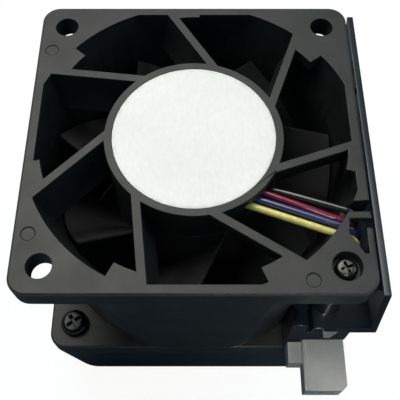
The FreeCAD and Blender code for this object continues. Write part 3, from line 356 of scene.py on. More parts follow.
DUST_COLOUR = (0.30, 0.29, 0.27, 1.0)
SCRATCH_LINES = 900.0
# factors of the written colour and roughness, for the lowest and the highest mottle
MOTTLE_DARK, MOTTLE_LIGHT = 0.78, 1.22
MOTTLE_SMOOTH, MOTTLE_ROUGH = 0.84, 1.16
SCRATCH_LIGHTENS = 2.4
SCRATCH_SMOOTHS = 0.12
DUST_DULLS = 0.3


def moulded_plastic(name, colour, roughness, grain, depth, dust=0.0, rubbed=0.0, specular=0.5):
    """A plastic with the grain of its mould; depth is how tall the grain stands, in metres."""
    material, tree, surface, place = start_material(name)
    skin = place_group(tree, mould_grain, Vector=place, Grain=grain)
    marks = place_group(tree, rub_marks, Vector=place, Lines=SCRATCH_LINES, Amount=rubbed)["Mask"]
    dusty = place_group(tree, settled_dust, Vector=place, Facing_Up=facing_up(tree), Amount=dust)["Mask"]
    plain = mix(tree, skin["Mottle"], shade(colour, MOTTLE_DARK), shade(colour, MOTTLE_LIGHT))
    rubbed_colour = mix(tree, marks, plain, shade(colour, SCRATCH_LIGHTENS))
    feed(tree, surface["Base Color"], mix(tree, dusty, rubbed_colour, DUST_COLOUR))
    uneven = spread(tree, skin["Mottle"], 0.0, 1.0, MOTTLE_SMOOTH * roughness, MOTTLE_ROUGH * roughness)
    smoothed = calculate(tree, "SUBTRACT", uneven, calculate(tree, "MULTIPLY", marks, SCRATCH_SMOOTHS))
    dulled = calculate(tree, "MULTIPLY", dusty, DUST_DULLS)
    feed(tree, surface["Roughness"], calculate(tree, "ADD", smoothed, dulled))
    surface["Specular IOR Level"].default_value = specular
    feed(tree, surface["Normal"], bump(tree, skin["Height"], depth))
    print("finish", name)
    return material


# %% The five plastics and their burnished edges
FRAME_COLOUR = (0.015, 0.017, 0.017)
# painted shade: the blue in the cover's and the collar's colours tints their dark sides navy
COVER_COLOUR = (0.008, 0.014, 0.021)
COLLAR_COLOUR = (0.006, 0.010, 0.016)
BLADE_COLOUR = (0.017, 0.018, 0.018)
# the plug's grey is lifted above its own to make up for the fan's shadow on it: partly painted light
PLUG_COLOUR = (0.310, 0.312, 0.294)

frame_plastic = moulded_plastic("frame_plastic", FRAME_COLOUR, roughness=0.42, grain=4200.0, depth=18e-6,
                                dust=0.08, rubbed=0.6, specular=0.32)
frame_edge = moulded_plastic("frame_edge", FRAME_COLOUR, roughness=0.34, grain=4200.0, depth=5e-6,
                             rubbed=0.9, specular=0.32)
cover_plastic = moulded_plastic("cover_plastic", COVER_COLOUR, roughness=0.20, grain=1500.0, depth=2e-6,
                                dust=0.04, rubbed=0.8)
cover_edge = moulded_plastic("cover_edge", COVER_COLOUR, roughness=0.16, grain=1500.0, depth=1e-6,
                             rubbed=1.0)
collar_plastic = moulded_plastic("collar_plastic", COLLAR_COLOUR, roughness=0.38, grain=3600.0, depth=12e-6,
                                 dust=0.05, rubbed=0.6)
collar_edge = moulded_plastic("collar_edge", COLLAR_COLOUR, roughness=0.32, grain=3600.0, depth=4e-6,
                              rubbed=0.9)
blade_plastic = moulded_plastic("blade_plastic", BLADE_COLOUR, roughness=0.46, grain=3000.0, depth=6e-6,
                                dust=0.08, rubbed=0.3, specular=0.45)
blade_edge = moulded_plastic("blade_edge", BLADE_COLOUR, roughness=0.42, grain=3000.0, depth=3e-6,
                             dust=0.10, rubbed=0.5, specular=0.45)
plug_plastic = moulded_plastic("plug_plastic", PLUG_COLOUR, roughness=0.44, grain=2600.0, depth=6e-6,
                               dust=0.05, rubbed=0.25)
plug_edge = moulded_plastic("plug_edge", PLUG_COLOUR, roughness=0.36, grain=2600.0, depth=3e-6, rubbed=0.3)

# %% [markdown]
# ## Rounded edges on the mouldings
# A solid comes as loose triangles with knife-sharp edges, and a sharp edge never catches the light, so a
# render looks like a drawing. The way out is a copy of the mesh: its triangles are merged, flat ones are
# dissolved into whole faces, and a Bevel modifier rounds every edge sharper than an angle. The rounded
# strips get a material of their own, a little smoother than the rest, because edges are what hands and
# rails rub first. A narrow strip would pull the normals of the broad face beside it askew, so they are
# weighted by area, which keeps flat faces flat. The copy stands for the solid, which stays hidden as the
# shape that collides.

# %% Softened copies
MERGE_DISTANCE = 0.001 * MM
FLAT_ANGLE = math.radians(0.5)
SHARP_ANGLE = math.radians(32)
SMOOTH_ANGLE = math.radians(50)
ROUNDING_STEPS = 2
EDGE_SLOT = 1
AREA_WEIGHT = 100
BODIES = frame["record"]["behaviour"]["bodies"]
BODY_OF_NODE = {node: body for body, nodes in BODIES.items() for node in nodes}


def merged_copy(node, name):
    """A copy of a solid's mesh with its loose triangles joined and its flat faces whole."""
    piece = bpy.data.objects.new(name, frame["nodes"][node].data.copy())
    bpy.context.scene.collection.objects.link(piece)
    piece.data.materials.clear()
    pick(piece)
    bpy.ops.object.mode_set(mode="EDIT")
    bpy.ops.mesh.select_all(action="SELECT")
    bpy.ops.mesh.customdata_custom_splitnormals_clear()
    bpy.ops.mesh.remove_doubles(threshold=MERGE_DISTANCE)
    bpy.ops.mesh.dissolve_limited(angle_limit=FLAT_ANGLE)
    bpy.ops.object.mode_set(mode="OBJECT")
    return piece


def stand_for(piece, node):
    """The piece takes the place of a solid: it rides on its body and hides it."""
    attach(piece, BODY_OF_NODE[node])
    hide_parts(node)
    print(piece.name, "stands for", node, "with", len(piece.data.polygons), "faces")


def softened(node, name, face_finish, edge_finish, rounding):
    """A copy of a moulding with every sharp edge rounded, which stands for its solid."""
    piece = merged_copy(node, name)
    piece.data.materials.append(face_finish)
    piece.data.materials.append(edge_finish)
    edges = piece.modifiers.new("edge_rounding", "BEVEL")
    edges.limit_method = "ANGLE"
    edges.angle_limit = SHARP_ANGLE
    edges.width = rounding
    edges.segments = ROUNDING_STEPS
    edges.material = EDGE_SLOT
    edges.use_clamp_overlap = False
    bpy.ops.object.modifier_apply(modifier=edges.name)
    bpy.ops.object.shade_smooth_by_angle(angle=SMOOTH_ANGLE)
    flat_faces = piece.modifiers.new("flat_faces", "WEIGHTED_NORMAL")
    flat_faces.mode = "FACE_AREA"
    flat_faces.weight = AREA_WEIGHT
    flat_faces.keep_sharp = True
    bpy.ops.object.modifier_apply(modifier=flat_faces.name)
    stand_for(piece, node)
    return piece


# %% [markdown]
# ### Frame, collar, cover, impeller and plug
# The frame and its collar are the largest mouldings and have the widest rounding. The impeller's blade
# edges are thin, so theirs is small. The plug is a precise little moulding with crisp edges.

# %% Make the softened mouldings
FRAME_ROUNDING = 0.14 * MM
COVER_ROUNDING = 0.12 * MM
PLUG_ROUNDING = 0.10 * MM
BLADE_ROUNDING = 0.08 * MM
softened("fan_frame", "frame_moulding", frame_plastic, frame_edge, FRAME_ROUNDING)
softened("intake_collar", "collar_moulding", collar_plastic, collar_edge, FRAME_ROUNDING)
cover = softened("side_cover", "cover_moulding", cover_plastic, cover_edge, COVER_ROUNDING)
softened("impeller", "impeller_moulding", blade_plastic, blade_edge, BLADE_ROUNDING)
softened("connector_housing", "plug_moulding", plug_plastic, plug_edge, PLUG_ROUNDING)

# %% [markdown]
# Two places on the cover differ from the rest. The small tapered catch over the plug gets a painted
# highlight:
# it alone stands out past the frame's near side, so its faces are easily picked, and they get the plug's
# pale plastic, which paints a glint on them. What is level with the frame's near side, the front of the
# plug's
# holder above all, is dull: polished, it would mirror the pale plug at a grazing angle.

# %% Catch with a painted highlight, and dull front of the cover
NEAR_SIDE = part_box("fan_frame")[0].y
LEVEL_TOLERANCE = 0.05 * MM
cover_front = moulded_plastic("cover_front", COVER_COLOUR, roughness=0.60, grain=1500.0, depth=6e-6,
                              specular=0.1)


def finish_faces(piece, finish, wanted):
    """Gives the faces for which wanted(face) is true a finish of their own."""
    piece.data.materials.append(finish)
    pick(piece)
    pick_faces(piece, wanted)
    piece.active_material_index = len(piece.data.materials) - 1
    bpy.ops.object.material_slot_assign()
    bpy.ops.object.mode_set(mode="OBJECT")
    print("faces in", finish.name, ":", sum(face.select for face in piece.data.polygons))


def on_near_side(face):
    return face.normal.y < -STRAIGHT and abs(face.center.y - NEAR_SIDE) < LEVEL_TOLERANCE


# painted highlight: the catch's faces get the pale plug plastic, which shows on them as a glint
finish_faces(cover, plug_plastic, lambda face: face.center.y < NEAR_SIDE - LEVEL_TOLERANCE)
finish_faces(cover, cover_front, on_near_side)

# %% [markdown]
# ## The sticker
# The round sticker on the motor base is paper with a clear film over it, a fifth of a millimetre thick,
# lying in a shallow recess. It is left bare. It starts as a short cylinder, its top is inset into rings
# so that the light can follow a slight crown, and its rim is rounded as a die leaves it. The film is
# smoother than the paper that shows through it, so the fibres are in the colour and only a soft ripple is
# in the bump.

# %% Sticker film
label_low, label_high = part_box("label")
STICKER_RADIUS = (label_high.x - label_low.x) / 2
FIBRE_STRETCH, FIBRE_TURN, FIBRE_SCALE, FIBRE_CUT = (1.0, 0.35, 1.0), 0.6, 2400.0, (0.35, 0.65)
AGEING_SCALE, AGEING_CUT, AGEING_SHARE = 90.0, (0.45, 0.8), 0.35
GRIME_WIDTH = 0.9 * MM
GRIME_SCALE, GRIME_CUT, GRIME_SHARE = 500.0, (0.4, 0.7), 0.45
FILM_LINES, FILM_RUBBED = 1100.0, 0.25
FILM_SMOOTH, FILM_ROUGH = 0.36, 0.48
RIPPLE_SCALE, RIPPLE_DEPTH = 260.0, 30e-6
PAPER_DARK = (0.79, 0.765, 0.735, 1.0)
PAPER_LIGHT = (0.84, 0.815, 0.785, 1.0)
AGED_PAPER = (0.76, 0.73, 0.68, 1.0)
RIM_GRIME = (0.34, 0.33, 0.30, 1.0)
RUBBED_FILM = (0.62, 0.61, 0.58, 1.0)


def sticker_film():
    """Paper under a clear film, a little grimy at its rim."""
    material, tree, surface, place = start_material("sticker_film")
    fibres = noise(tree, stretched(tree, place, FIBRE_STRETCH, FIBRE_TURN), FIBRE_SCALE, detail=4.0)
    clouds = noise(tree, place, AGEING_SCALE, detail=4.0)
    paper = mix(tree, spread(tree, fibres, *FIBRE_CUT), PAPER_DARK, PAPER_LIGHT)
    aged = mix(tree, spread(tree, clouds, *AGEING_CUT, to_high=AGEING_SHARE), paper, AGED_PAPER)
    rim = spread(tree, off_axis(tree, place), STICKER_RADIUS - GRIME_WIDTH, STICKER_RADIUS)
    smears = spread(tree, noise(tree, place, GRIME_SCALE, detail=4.0), *GRIME_CUT)
    grime = calculate(tree, "MULTIPLY", rim, smears)
    soiled = mix(tree, calculate(tree, "MULTIPLY", grime, GRIME_SHARE), aged, RIM_GRIME)
    marks = place_group(tree, rub_marks, Vector=place, Lines=FILM_LINES, Amount=FILM_RUBBED)["Mask"]
    feed(tree, surface["Base Color"], mix(tree, marks, soiled, RUBBED_FILM))
    feed(tree, surface["Roughness"], spread(tree, clouds, *NOISE_RANGE, FILM_SMOOTH, FILM_ROUGH))
    ripple = noise(tree, place, RIPPLE_SCALE)
    feed(tree, surface["Normal"], bump(tree, ripple, RIPPLE_DEPTH, strength=0.5))
    print("finish", material.name)
    return material


# %% Sticker piece
STICKER_SIDES = 160
STICKER_CROWN = 0.03 * MM
CROWN_RINGS = (0.5 * MM, 2.0 * MM, 4.0 * MM, 4.0 * MM)
RIM_ROUNDING = 0.04 * MM
RIM_ANGLE = math.radians(60)
rim_thickness = label_high.z - label_low.z - STICKER_CROWN
bpy.ops.object.select_all(action="DESELECT")
bpy.ops.mesh.primitive_cylinder_add(vertices=STICKER_SIDES, radius=STICKER_RADIUS, depth=rim_thickness,
                                    location=(0, 0, label_low.z + rim_thickness / 2))
sticker = bpy.context.object
sticker.name = "bare_sticker"
own_place(sticker)
pick_faces(sticker, looks_up)
for ring_width in CROWN_RINGS:
    bpy.ops.mesh.inset(thickness=ring_width)
    bpy.ops.transform.translate(value=(0, 0, STICKER_CROWN / len(CROWN_RINGS)))
bpy.ops.object.mode_set(mode="OBJECT")
rim = sticker.modifiers.new("die_cut_rim", "BEVEL")
rim.limit_method = "ANGLE"
rim.angle_limit = RIM_ANGLE
rim.width = RIM_ROUNDING
rim.segments = ROUNDING_STEPS
bpy.ops.object.modifier_apply(modifier=rim.name)
bpy.ops.object.shade_smooth_by_angle(angle=SHARP_ANGLE)
sticker.data.materials.append(sticker_film())
stand_for(sticker, "label")

# %% [markdown]
# ## Metals
# The shaft and the bearings are bright steel, the screws are steel with a dark oxide or phosphate skin,
# and the bearing tube is brass. All of them were turned, drawn or ground, so fine lines run round or
# along them, and the colour is never quite even.

# %% Metal recipe
BLOTCH_SCALE = 420.0
BLOTCH_DARK, BLOTCH_LIGHT = 0.86, 1.08
TOOL_LINE_CUT, TOOL_LINE_SHARE, TOOL_LINE_DARK = (0.55, 0.8), 0.5, 0.7
SMOOTHER, ROUGHER = 0.07, 0.09


def worked_metal(name, colour, roughness, lines, stretch, depth):
    """A metal with fine tool lines; stretch, their scale along each axis, says which way they run."""
    material, tree, surface, place = start_material(name)
    drawn = noise(tree, stretched(tree, place, stretch), lines)
    blotches = spread(tree, noise(tree, place, BLOTCH_SCALE, detail=4.0), *NOISE_RANGE)
    uneven = mix(tree, blotches, shade(colour, BLOTCH_DARK), shade(colour, BLOTCH_LIGHT))
    lined = spread(tree, drawn, *TOOL_LINE_CUT, to_high=TOOL_LINE_SHARE)
    feed(tree, surface["Base Color"], mix(tree, lined, uneven, shade(colour, TOOL_LINE_DARK)))
    dull_lines = spread(tree, drawn, *NOISE_RANGE, roughness - SMOOTHER, roughness + ROUGHER)
    feed(tree, surface["Roughness"], dull_lines)
    surface["Metallic"].default_value = 1.0
    feed(tree, surface["Normal"], bump(tree, drawn, depth, strength=0.6))
    print("finish", name)
    return material


# %% The metals
TURNED = (1.0, 1.0, 12.0)
DRAWN = (1.0, 1.0, 0.08)
black_oxide = worked_metal("black_oxide", (0.020, 0.021, 0.022), roughness=0.22,
                           lines=1800.0, stretch=TURNED, depth=2e-6)
grey_phosphate = worked_metal("grey_phosphate", (0.075, 0.075, 0.072), roughness=0.30,
                              lines=1800.0, stretch=TURNED, depth=2e-6)
ground_steel = worked_metal("ground_steel", (0.62, 0.62, 0.64), roughness=0.18,
                            lines=2600.0, stretch=TURNED, depth=1e-6)
pressed_steel = worked_metal("pressed_steel", (0.42, 0.42, 0.44), roughness=0.38,
                             lines=1500.0, stretch=DRAWN, depth=4e-6)
tempered_steel = worked_metal("tempered_steel", (0.30, 0.29, 0.28), roughness=0.30,
                              lines=1500.0, stretch=TURNED, depth=2e-6)
turned_brass = worked_metal("turned_brass", (0.62, 0.43, 0.16), roughness=0.28,
                            lines=1800.0, stretch=TURNED, depth=3e-6)
tinned_brass = worked_metal("tinned_brass", (0.66, 0.62, 0.52), roughness=0.30,
                            lines=1600.0, stretch=DRAWN, depth=2e-6)
can_aluminium = worked_metal("can_aluminium", (0.58, 0.58, 0.60), roughness=0.30,
                             lines=1500.0, stretch=DRAWN, depth=2e-6)

# %% [markdown]
# ## Screws
# The solids hold plain pan heads, because a cross recess is too small for a collision shape. Here one
# screw is modelled by hand: a cylinder for the head, its upper edge bevelled in steps into a pan, its
# underside inset to the shank's width and pulled down, and the tip chamfered. The recess is a Boolean cut
# with a cross, and the cross is a cube with its four sides pulled out and its foot drawn in. It goes dark
# at the bottom by its shape alone.

# %% Cross cutter
CUT_CLEARANCE = 0.2 * MM
RECESS_TAPER = 0.6


def cross_cutter(arm, width, depth, top):
    """A cross that is narrower below: a cube with its four sides pulled out, standing over a level."""
    bpy.ops.object.select_all(action="DESELECT")
    bpy.ops.mesh.primitive_cube_add(size=width, location=(0, 0, top + CUT_CLEARANCE - width / 2))
    cutter = bpy.context.object
    own_place(cutter)
    pick_faces(cutter, looks_sideways)
    bpy.ops.mesh.extrude_faces_move(TRANSFORM_OT_shrink_fatten={"value": arm - width / 2})
    pick_faces(cutter, looks_down)
    floor_level = top - depth
    drop = floor_level - (top + CUT_CLEARANCE - width)
    bpy.ops.transform.translate(value=(0, 0, drop))
    bpy.ops.transform.resize(value=(RECESS_TAPER, RECESS_TAPER, 1.0), center_override=(0, 0, floor_level))
    bpy.ops.mesh.select_all(action="SELECT")
    bpy.ops.mesh.normals_make_consistent(inside=False)
    bpy.ops.object.mode_set(mode="OBJECT")
    return cutter


# %% One screw
SHANK_RADIUS = 1.5 * MM
HEAD_SIDES = 64
# shares of the head's height or radius and of the shank's radius
PAN_ROUNDING, PAN_STEPS = 0.55, 6
TIP_CHAMFER = 0.3
RECESS_ARM, RECESS_WIDTH, RECESS_DEPTH = 0.62, 0.30, 0.55


def cross_screw(name, head_radius, head_height, length, finish):
    """A pan-headed screw at the origin, head upwards, with its seat at z = 0."""
    bpy.ops.object.select_all(action="DESELECT")
    bpy.ops.mesh.primitive_cylinder_add(vertices=HEAD_SIDES, radius=head_radius, depth=head_height,
                                        location=(0, 0, head_height / 2))
    screw = bpy.context.object
    screw.name = name
    own_place(screw)
    pick_faces(screw, looks_up)
    bpy.ops.mesh.bevel(offset=PAN_ROUNDING * head_height, segments=PAN_STEPS, affect="EDGES")
    pick_faces(screw, looks_down)
    bpy.ops.mesh.inset(thickness=head_radius - SHANK_RADIUS)
    bpy.ops.mesh.extrude_region_move(TRANSFORM_OT_translate={"value": (0, 0, -length)})
    bpy.ops.mesh.bevel(offset=TIP_CHAMFER * SHANK_RADIUS, segments=1, affect="EDGES")
    bpy.ops.object.mode_set(mode="OBJECT")
    cutter = cross_cutter(RECESS_ARM * head_radius, RECESS_WIDTH * head_radius,
                          RECESS_DEPTH * head_height, head_height)
    pick(screw)
    recess = screw.modifiers.new("cross_recess", "BOOLEAN")
    recess.operation = "DIFFERENCE"
    recess.solver = "EXACT"
    recess.object = cutter
    bpy.ops.object.modifier_apply(modifier=recess.name)
    bpy.data.objects.remove(cutter)
    pick(screw)
    bpy.ops.object.shade_smooth_by_angle(angle=SHARP_ANGLE)
    screw.data.materials.append(finish)
    return screw


# %% Cover screw
cover_low, cover_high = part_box("cover_screw")
COVER_HEAD_HEIGHT = 1.6 * MM
COVER_SCREW_TURN = math.radians(20)
cover_seat = cover_high.z - COVER_HEAD_HEIGHT
cover_screw = cross_screw("cover_cross_screw", (cover_high.x - cover_low.x) / 2, COVER_HEAD_HEIGHT,
                          cover_seat - cover_low.z, grey_phosphate)
cover_screw.location = ((cover_low.x + cover_high.x) / 2, (cover_low.y + cover_high.y) / 2, cover_seat)
cover_screw.rotation_euler.z = COVER_SCREW_TURN
own_place(cover_screw)
stand_for(cover_screw, "cover_screw")

# %% [markdown]
# The collar's three screws are alike, so one is modelled and the others are copies with meshes of their
# own, each turned a little differently, as screws end up. Joined, they are one piece, like the solid that
# they stand for.

# %% Collar screws
COLLAR_HEAD_RADIUS = 2.75 * MM
COLLAR_HEAD_HEIGHT = 2.0 * MM
collar_low, collar_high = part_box("collar_screws")
collar_seat = collar_high.z - COLLAR_HEAD_HEIGHT
hole = collar_high.x - COLLAR_HEAD_RADIUS
COLLAR_SCREW_PLACES = [(-hole, -hole, 35), (-hole, hole, 70), (hole, hole, 10)]
first_screw = cross_screw("collar_cross_screws", COLLAR_HEAD_RADIUS, COLLAR_HEAD_HEIGHT,
                          collar_seat - collar_low.z, black_oxide)
screws = [first_screw]
for _ in COLLAR_SCREW_PLACES[1:]:
    pick(first_screw)
    bpy.ops.object.duplicate(linked=False)
    screws.append(bpy.context.object)
for screw, (x, y, turn) in zip(screws, COLLAR_SCREW_PLACES):
    screw.location = (x, y, collar_seat)
    screw.rotation_euler.z = math.radians(turn)
    own_place(screw)
for screw in screws:
    screw.select_set(True)
bpy.context.view_layer.objects.active = first_screw
bpy.ops.object.join()
stand_for(first_screw, "collar_screws")

# %% [markdown]
# ## Leads
# Four thin wires in soft vinyl run from the motor base to the plug: black, red, blue and yellow. The
# solids already have their routes, and the fan holds them all the way, so they only need a round skin:
# the copy's triangles are merged and shaded smooth. Extruded vinyl is glossy and nearly even, with faint
# draw lines and finger grease.

# %% Lead insulation
DRAW_SCALE, DRAW_DEPTH = 1400.0, 6e-6
DRAW_DARK, DRAW_LIGHT = 0.86, 1.12
GREASE_SCALE, GREASE_CUT, GREASE_SHARE, GREASE_DARK = 240.0, (0.5, 0.8), 0.3, 0.55
LEAD_LINES, LEAD_RUBBED = 1500.0, 0.3
RUBBED_VINYL = (0.5, 0.5, 0.5, 1.0)
VINYL_SMOOTH, VINYL_ROUGH = 0.12, 0.24
VINYL_GLOSS = 0.9


def vinyl(name, colour):
    """Glossy insulation in one colour."""
    material, tree, surface, place = start_material(name)
    draw = noise(tree, place, DRAW_SCALE, detail=2.0)
    grease = noise(tree, place, GREASE_SCALE, detail=4.0)
    drawn = spread(tree, draw, *NOISE_RANGE)
    uneven = mix(tree, drawn, shade(colour, DRAW_DARK), shade(colour, DRAW_LIGHT))
    greasy = spread(tree, grease, *GREASE_CUT, to_high=GREASE_SHARE)
    dull = mix(tree, greasy, uneven, shade(colour, GREASE_DARK))
    marks = place_group(tree, rub_marks, Vector=place, Lines=LEAD_LINES, Amount=LEAD_RUBBED)["Mask"]
    feed(tree, surface["Base Color"], mix(tree, marks, dull, RUBBED_VINYL))
    feed(tree, surface["Roughness"], spread(tree, grease, *NOISE_RANGE, VINYL_SMOOTH, VINYL_ROUGH))
    surface["Specular IOR Level"].default_value = VINYL_GLOSS
    feed(tree, surface["Normal"], bump(tree, draw, DRAW_DEPTH, strength=0.5))
    print("finish", name)
    return material


# %% The four leads
LEAD_COLOURS = {
    "wire_yellow": ("yellow_insulation", (0.64, 0.57, 0.16)),
    "wire_blue": ("blue_insulation", (0.021, 0.029, 0.108)),
    "wire_red": ("red_insulation", (0.165, 0.007, 0.031)),
    "wire_black": ("black_insulation", (0.012, 0.012, 0.014)),
}
for node, (slot, colour) in LEAD_COLOURS.items():
    lead = merged_copy(node, node + "_skin")
    bpy.ops.object.shade_smooth_by_angle(angle=SMOOTH_ANGLE)
    lead.data.materials.append(vinyl(slot, colour))
    stand_for(lead, node)

# %% [markdown]
# ## The motor inside
# The rotor and stator are shut in by the hub and the motor base. Their solids stay as they are and get
# finishes of their own, so that a cut-away or a taken-apart fan looks right too: stacked steel sheets,
# wound copper, a lacquered board, and dull ferrite. The contacts in the plug are done with them.

# %% Banded finishes for stacked sheets and windings
BAND_WOBBLE = 0.6
TARNISH_SCALE = 500.0
TARNISH_DARK, TARNISH_LIGHT = 0.85, 1.1
GROOVE_WIDTH, GROOVE_DARK, GROOVE_ROUGHER = 0.35, 0.18, 0.12


def banded_metal(name, colour, bands, along, roughness, depth):
    """Metal in fine bands along one axis: the sheets of a core, or the turns of a coil."""
    material, tree, surface, place = start_material(name)
    wave = tree.nodes.new("ShaderNodeTexWave")
    wave.bands_direction = along
    feed(tree, wave.inputs["Vector"], place)
    wave.inputs["Scale"].default_value = bands
    wave.inputs["Distortion"].default_value = BAND_WOBBLE
    ridge = wave.outputs["Fac"]
    tarnish = noise(tree, place, TARNISH_SCALE)
    uneven = mix(tree, tarnish, shade(colour, TARNISH_DARK), shade(colour, TARNISH_LIGHT))
    out_of_groove = spread(tree, ridge, 0.0, GROOVE_WIDTH)
    feed(tree, surface["Base Color"], mix(tree, out_of_groove, shade(colour, GROOVE_DARK), uneven))
    feed(tree, surface["Roughness"], spread(tree, ridge, 0.0, 1.0, roughness + GROOVE_ROUGHER, roughness))
    surface["Metallic"].default_value = 1.0
    feed(tree, surface["Normal"], bump(tree, ridge, depth))
    print("finish", name)
    return material


stacked_sheets = banded_metal("stacked_sheets", (0.27, 0.27, 0.29), bands=320.0, along="Z",
                              roughness=0.36, depth=20e-6)
wound_copper = banded_metal("wound_copper", (0.58, 0.24, 0.09), bands=700.0, along="DIAGONAL",
                            roughness=0.28, depth=60e-6)

# %% Remaining inner finishes
ferrite = moulded_plastic("ferrite", (0.045, 0.045, 0.048), roughness=0.62, grain=2400.0, depth=10e-6)
natural_nylon = moulded_plastic("natural_nylon", (0.50, 0.47, 0.38), roughness=0.42,
                                grain=2000.0, depth=4e-6)
board_lacquer = moulded_plastic("board_lacquer", (0.018, 0.105, 0.042), roughness=0.24,
                                grain=1400.0, depth=3e-6, rubbed=0.2)
chip_epoxy = moulded_plastic("chip_epoxy", (0.018, 0.018, 0.018), roughness=0.55, grain=3000.0, depth=8e-6)
glazed_ceramic = moulded_plastic("glazed_ceramic", (0.06, 0.06, 0.06), roughness=0.30,
                                 grain=2000.0, depth=3e-6)
cage_nylon = moulded_plastic("cage_nylon", (0.40, 0.32, 0.20), roughness=0.45, grain=2200.0, depth=3e-6)

# %% Finish the inner solids
INNER_FINISHES = {
    "connector_terminals": tinned_brass,
    "rotor_yoke": pressed_steel,
    "rotor_magnet": ferrite,
    "shaft_bush": turned_brass,
    "shaft": ground_steel,
    "retaining_clip": tempered_steel,
    "preload_spring": tempered_steel,
    "bearing_tube": turned_brass,
    "stator_core": stacked_sheets,
    "upper_insulator": natural_nylon,
    "lower_insulator": natural_nylon,
    "stator_windings": wound_copper,
    "winding_pins": tinned_brass,
    "circuit_board": board_lacquer,
    "hall_sensor": chip_epoxy,
    "driver_chip": chip_epoxy,
    "capacitor": can_aluminium,
    "board_resistors": glazed_ceramic,
}
for bearing in ("lower_bearing", "upper_bearing"):
    for piece in ("outer_ring", "inner_ring", "balls", "shields"):
        INNER_FINISHES["%s_%s" % (bearing, piece)] = ground_steel
    INNER_FINISHES[bearing + "_cage"] = cage_nylon
for node, finish in INNER_FINISHES.items():
    solid = frame["nodes"][node]
    solid.data.materials.clear()
    solid.data.materials.append(finish)
print("inner solids with a finish:", len(INNER_FINISHES))

# %% [markdown]
# ## Floor and background
# The fan stands on a white table. The plane's own colour is a dark blue grey, which takes the fan's
# shadow and throws little light back at its sides. What the camera sees, directly or in a reflection,
# gets a glow on top, so that the table reads as paper white without more light on the fan; the Light Path
# node tells such rays from the others. The glow leaves out the ground that the fan stands on, which would
# shine up through the blades, and in reflections also the ground around it, so that black sides stay
# black. It grows to a full white far off, where the lamps fade.

# %% Floor
FLOOR_DROP = 0.02 * MM
FLOOR_SIDE = 4.0
bpy.ops.object.select_all(action="DESELECT")
bpy.ops.mesh.primitive_plane_add(size=FLOOR_SIDE, location=(0, 0, cad_box[0][2] - FLOOR_DROP))
floor = bpy.context.object
floor.name = "white_table"


def ray_kinds(tree):
    """Two masks: what the camera sees directly, and what it sees mirrored or through glass."""
    path = tree.nodes.new("ShaderNodeLightPath").outputs
    mirrored = calculate(tree, "MAXIMUM", path["Is Glossy Ray"], path["Is Transmission Ray"])
    return path["Is Camera Ray"], mirrored


TABLE_GREY = (0.066, 0.097, 0.125)
FLECK_SCALE, FLECK_DARK, FLECK_LIGHT = 60.0, 0.95, 1.05
TABLE_ROUGHNESS, TABLE_GLOSS = 0.9, 0.1
GLOW_NEARBY = (0.94, 0.928, 0.912, 1.0)
WHITE = (1.0, 1.0, 1.0, 1.0)
# distances from the fan's axis: half the frame's width, where the ground under the fan and the dark ground
# around it end, and where the lamps fade
HALF_WIDTH = cad_box[1][1]
UNDER_FAN = (0.94 * HALF_WIDTH, 0.97 * HALF_WIDTH)
DARK_GROUND = (3 * HALF_WIDTH, 6 * HALF_WIDTH)
LAMP_REACH = (4 * HALF_WIDTH, 40 * HALF_WIDTH)


def table_white():
    """A dark floor that glows white where the camera sees it."""
    material, tree, surface, place = start_material("table_white")
    fleck = noise(tree, place, FLECK_SCALE)
    own_colour = mix(tree, fleck, shade(TABLE_GREY, FLECK_DARK), shade(TABLE_GREY, FLECK_LIGHT))
    feed(tree, surface["Base Color"], own_colour)
    surface["Roughness"].default_value = TABLE_ROUGHNESS
    surface["Specular IOR Level"].default_value = TABLE_GLOSS
    reach = off_axis(tree, place)
    lamps_fade = spread(tree, reach, *LAMP_REACH)
    feed(tree, surface["Emission Color"], mix(tree, lamps_fade, GLOW_NEARBY, WHITE))
    direct, mirrored = ray_kinds(tree)
    beside_fan = calculate(tree, "MULTIPLY", direct, spread(tree, reach, *UNDER_FAN))
    farther_off = calculate(tree, "MULTIPLY", mirrored, spread(tree, reach, *DARK_GROUND))
    feed(tree, surface["Emission Strength"], calculate(tree, "MAXIMUM", beside_fan, farther_off))
    return material


floor.data.materials.append(table_white())
print("floor", floor.name, "side in m:", FLOOR_SIDE)

# %% [markdown]
# ### World
# The world lights the scene dimly, so that no shadow is quite black. The camera sees it white, like the
# table. Reflections see it white near the horizon, with a dark ceiling above, as in a studio: what faces up
# then mirrors the lamps and little else.

# %% World
DIM_BLUE = (0.46, 0.76, 1.0, 1.0)
DIM_STRENGTH = 0.24
CEILING_GREY = (0.10, 0.11, 0.12, 1.0)
# how far up a reflection has to look, from 0 level to 1 straight up
CEILING_START, CEILING_FULL = 0.05, 0.40
world = bpy.data.worlds.new("studio")
world.use_nodes = True
bpy.context.scene.world = world
tree = world.node_tree
dim_light = tree.nodes["Background"]
dim_light.inputs["Color"].default_value = DIM_BLUE
dim_light.inputs["Strength"].default_value = DIM_STRENGTH
height = tree.nodes.new("ShaderNodeSeparateXYZ")
feed(tree, height.inputs[0], tree.nodes.new("ShaderNodeTexCoord").outputs["Generated"])
direct, mirrored = ray_kinds(tree)
overhead = spread(tree, height.outputs["Z"], CEILING_START, CEILING_FULL)
dark_ceiling = calculate(tree, "MULTIPLY", mirrored, overhead)
shown = tree.nodes.new("ShaderNodeBackground")
feed(tree, shown.inputs["Color"], mix(tree, dark_ceiling, WHITE, CEILING_GREY))
either = tree.nodes.new("ShaderNodeMixShader")
feed(tree, either.inputs["Fac"], calculate(tree, "MAXIMUM", direct, mirrored))
feed(tree, either.inputs[1], dim_light.outputs[0])
feed(tree, either.inputs[2], shown.outputs[0])
feed(tree, tree.nodes["World Output"].inputs["Surface"], either.outputs[0])
print("world", world.name, "strength", DIM_STRENGTH)

# %% [markdown]
# ## Lamps
# One broad softbox hangs behind and above the fan, where a mirror lying on the exhaust face would show it
# to the camera. That gives the black face its grey sheen and leaves the near side dark. A narrow strip on
# the right draws the bright lines along the cover. The plug lies in the fan's shadow, so it has a small
# lamp of its own, with a grid that keeps its light off the rest.

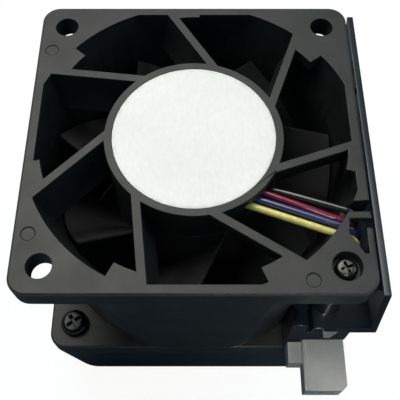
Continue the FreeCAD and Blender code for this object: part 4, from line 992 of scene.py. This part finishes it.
# %% Lamp helper and lamps
AIM_SHARE = 0.6
FAN_MIDDLE = Vector((0, 0, cad_box[1][2] * AIM_SHARE))
plug_low, plug_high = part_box("connector_housing")
PLUG_MIDDLE = (plug_low + plug_high) / 2
WARM = (1.0, 0.975, 0.90)
COOL = (0.78, 0.91, 1.0)


def softbox(name, place, aim, size, power, tint, spread_angle=180):
    """A rectangular lamp that is turned towards a point; its size is in metres, its power in watts."""
    bpy.ops.object.select_all(action="DESELECT")
    bpy.ops.object.light_add(type="AREA", location=place)
    lamp = bpy.context.object
    lamp.name = name
    lamp.data.shape = "RECTANGLE"
    lamp.data.size, lamp.data.size_y = size
    lamp.data.energy = power
    lamp.data.color = tint
    lamp.data.spread = math.radians(spread_angle)
    lamp.rotation_euler = (aim - Vector(place)).to_track_quat("-Z", "Y").to_euler()
    print("lamp", name, "power", power)


softbox("key_softbox", place=(-0.10, 0.20, 0.52), aim=FAN_MIDDLE, size=(0.50, 0.42), power=2.95, tint=WARM)
softbox("cover_strip", place=(0.45, 0.05, 0.30), aim=FAN_MIDDLE, size=(0.06, 0.40), power=0.62, tint=COOL)
softbox("plug_lamp", place=(0.03, -0.16, 0.26), aim=PLUG_MIDDLE, size=(0.03, 0.03), power=0.0025, tint=WARM,
        spread_angle=14)

# %% [markdown]
# ## Camera
# The photograph looks down on the exhaust face from the near side, 63 degrees above the table, from close
# by, so the near edge is clearly wider than the far one. The place and the lens were worked out from the
# frame's corners: a square of 60 mm fixes both.

# %% Camera
CAMERA_PLACE = Vector((1.10, -61.63, 148.48)) * MM
CAMERA_TILT = math.radians(26.7)
SENSOR_WIDTH = 36.0
LENS = 57.24
NEAR_CLIP = 2 * MM
bpy.ops.object.select_all(action="DESELECT")
bpy.ops.object.camera_add(location=CAMERA_PLACE, rotation=(CAMERA_TILT, 0, 0))
camera = bpy.context.object
camera.name = "photo_camera"
camera.data.sensor_width = SENSOR_WIDTH
camera.data.lens = LENS
camera.data.clip_start = NEAR_CLIP
bpy.context.scene.camera = camera
bpy.context.scene.view_settings.view_transform = "Standard"
print("camera", [round(x / MM, 1) for x in camera.location])
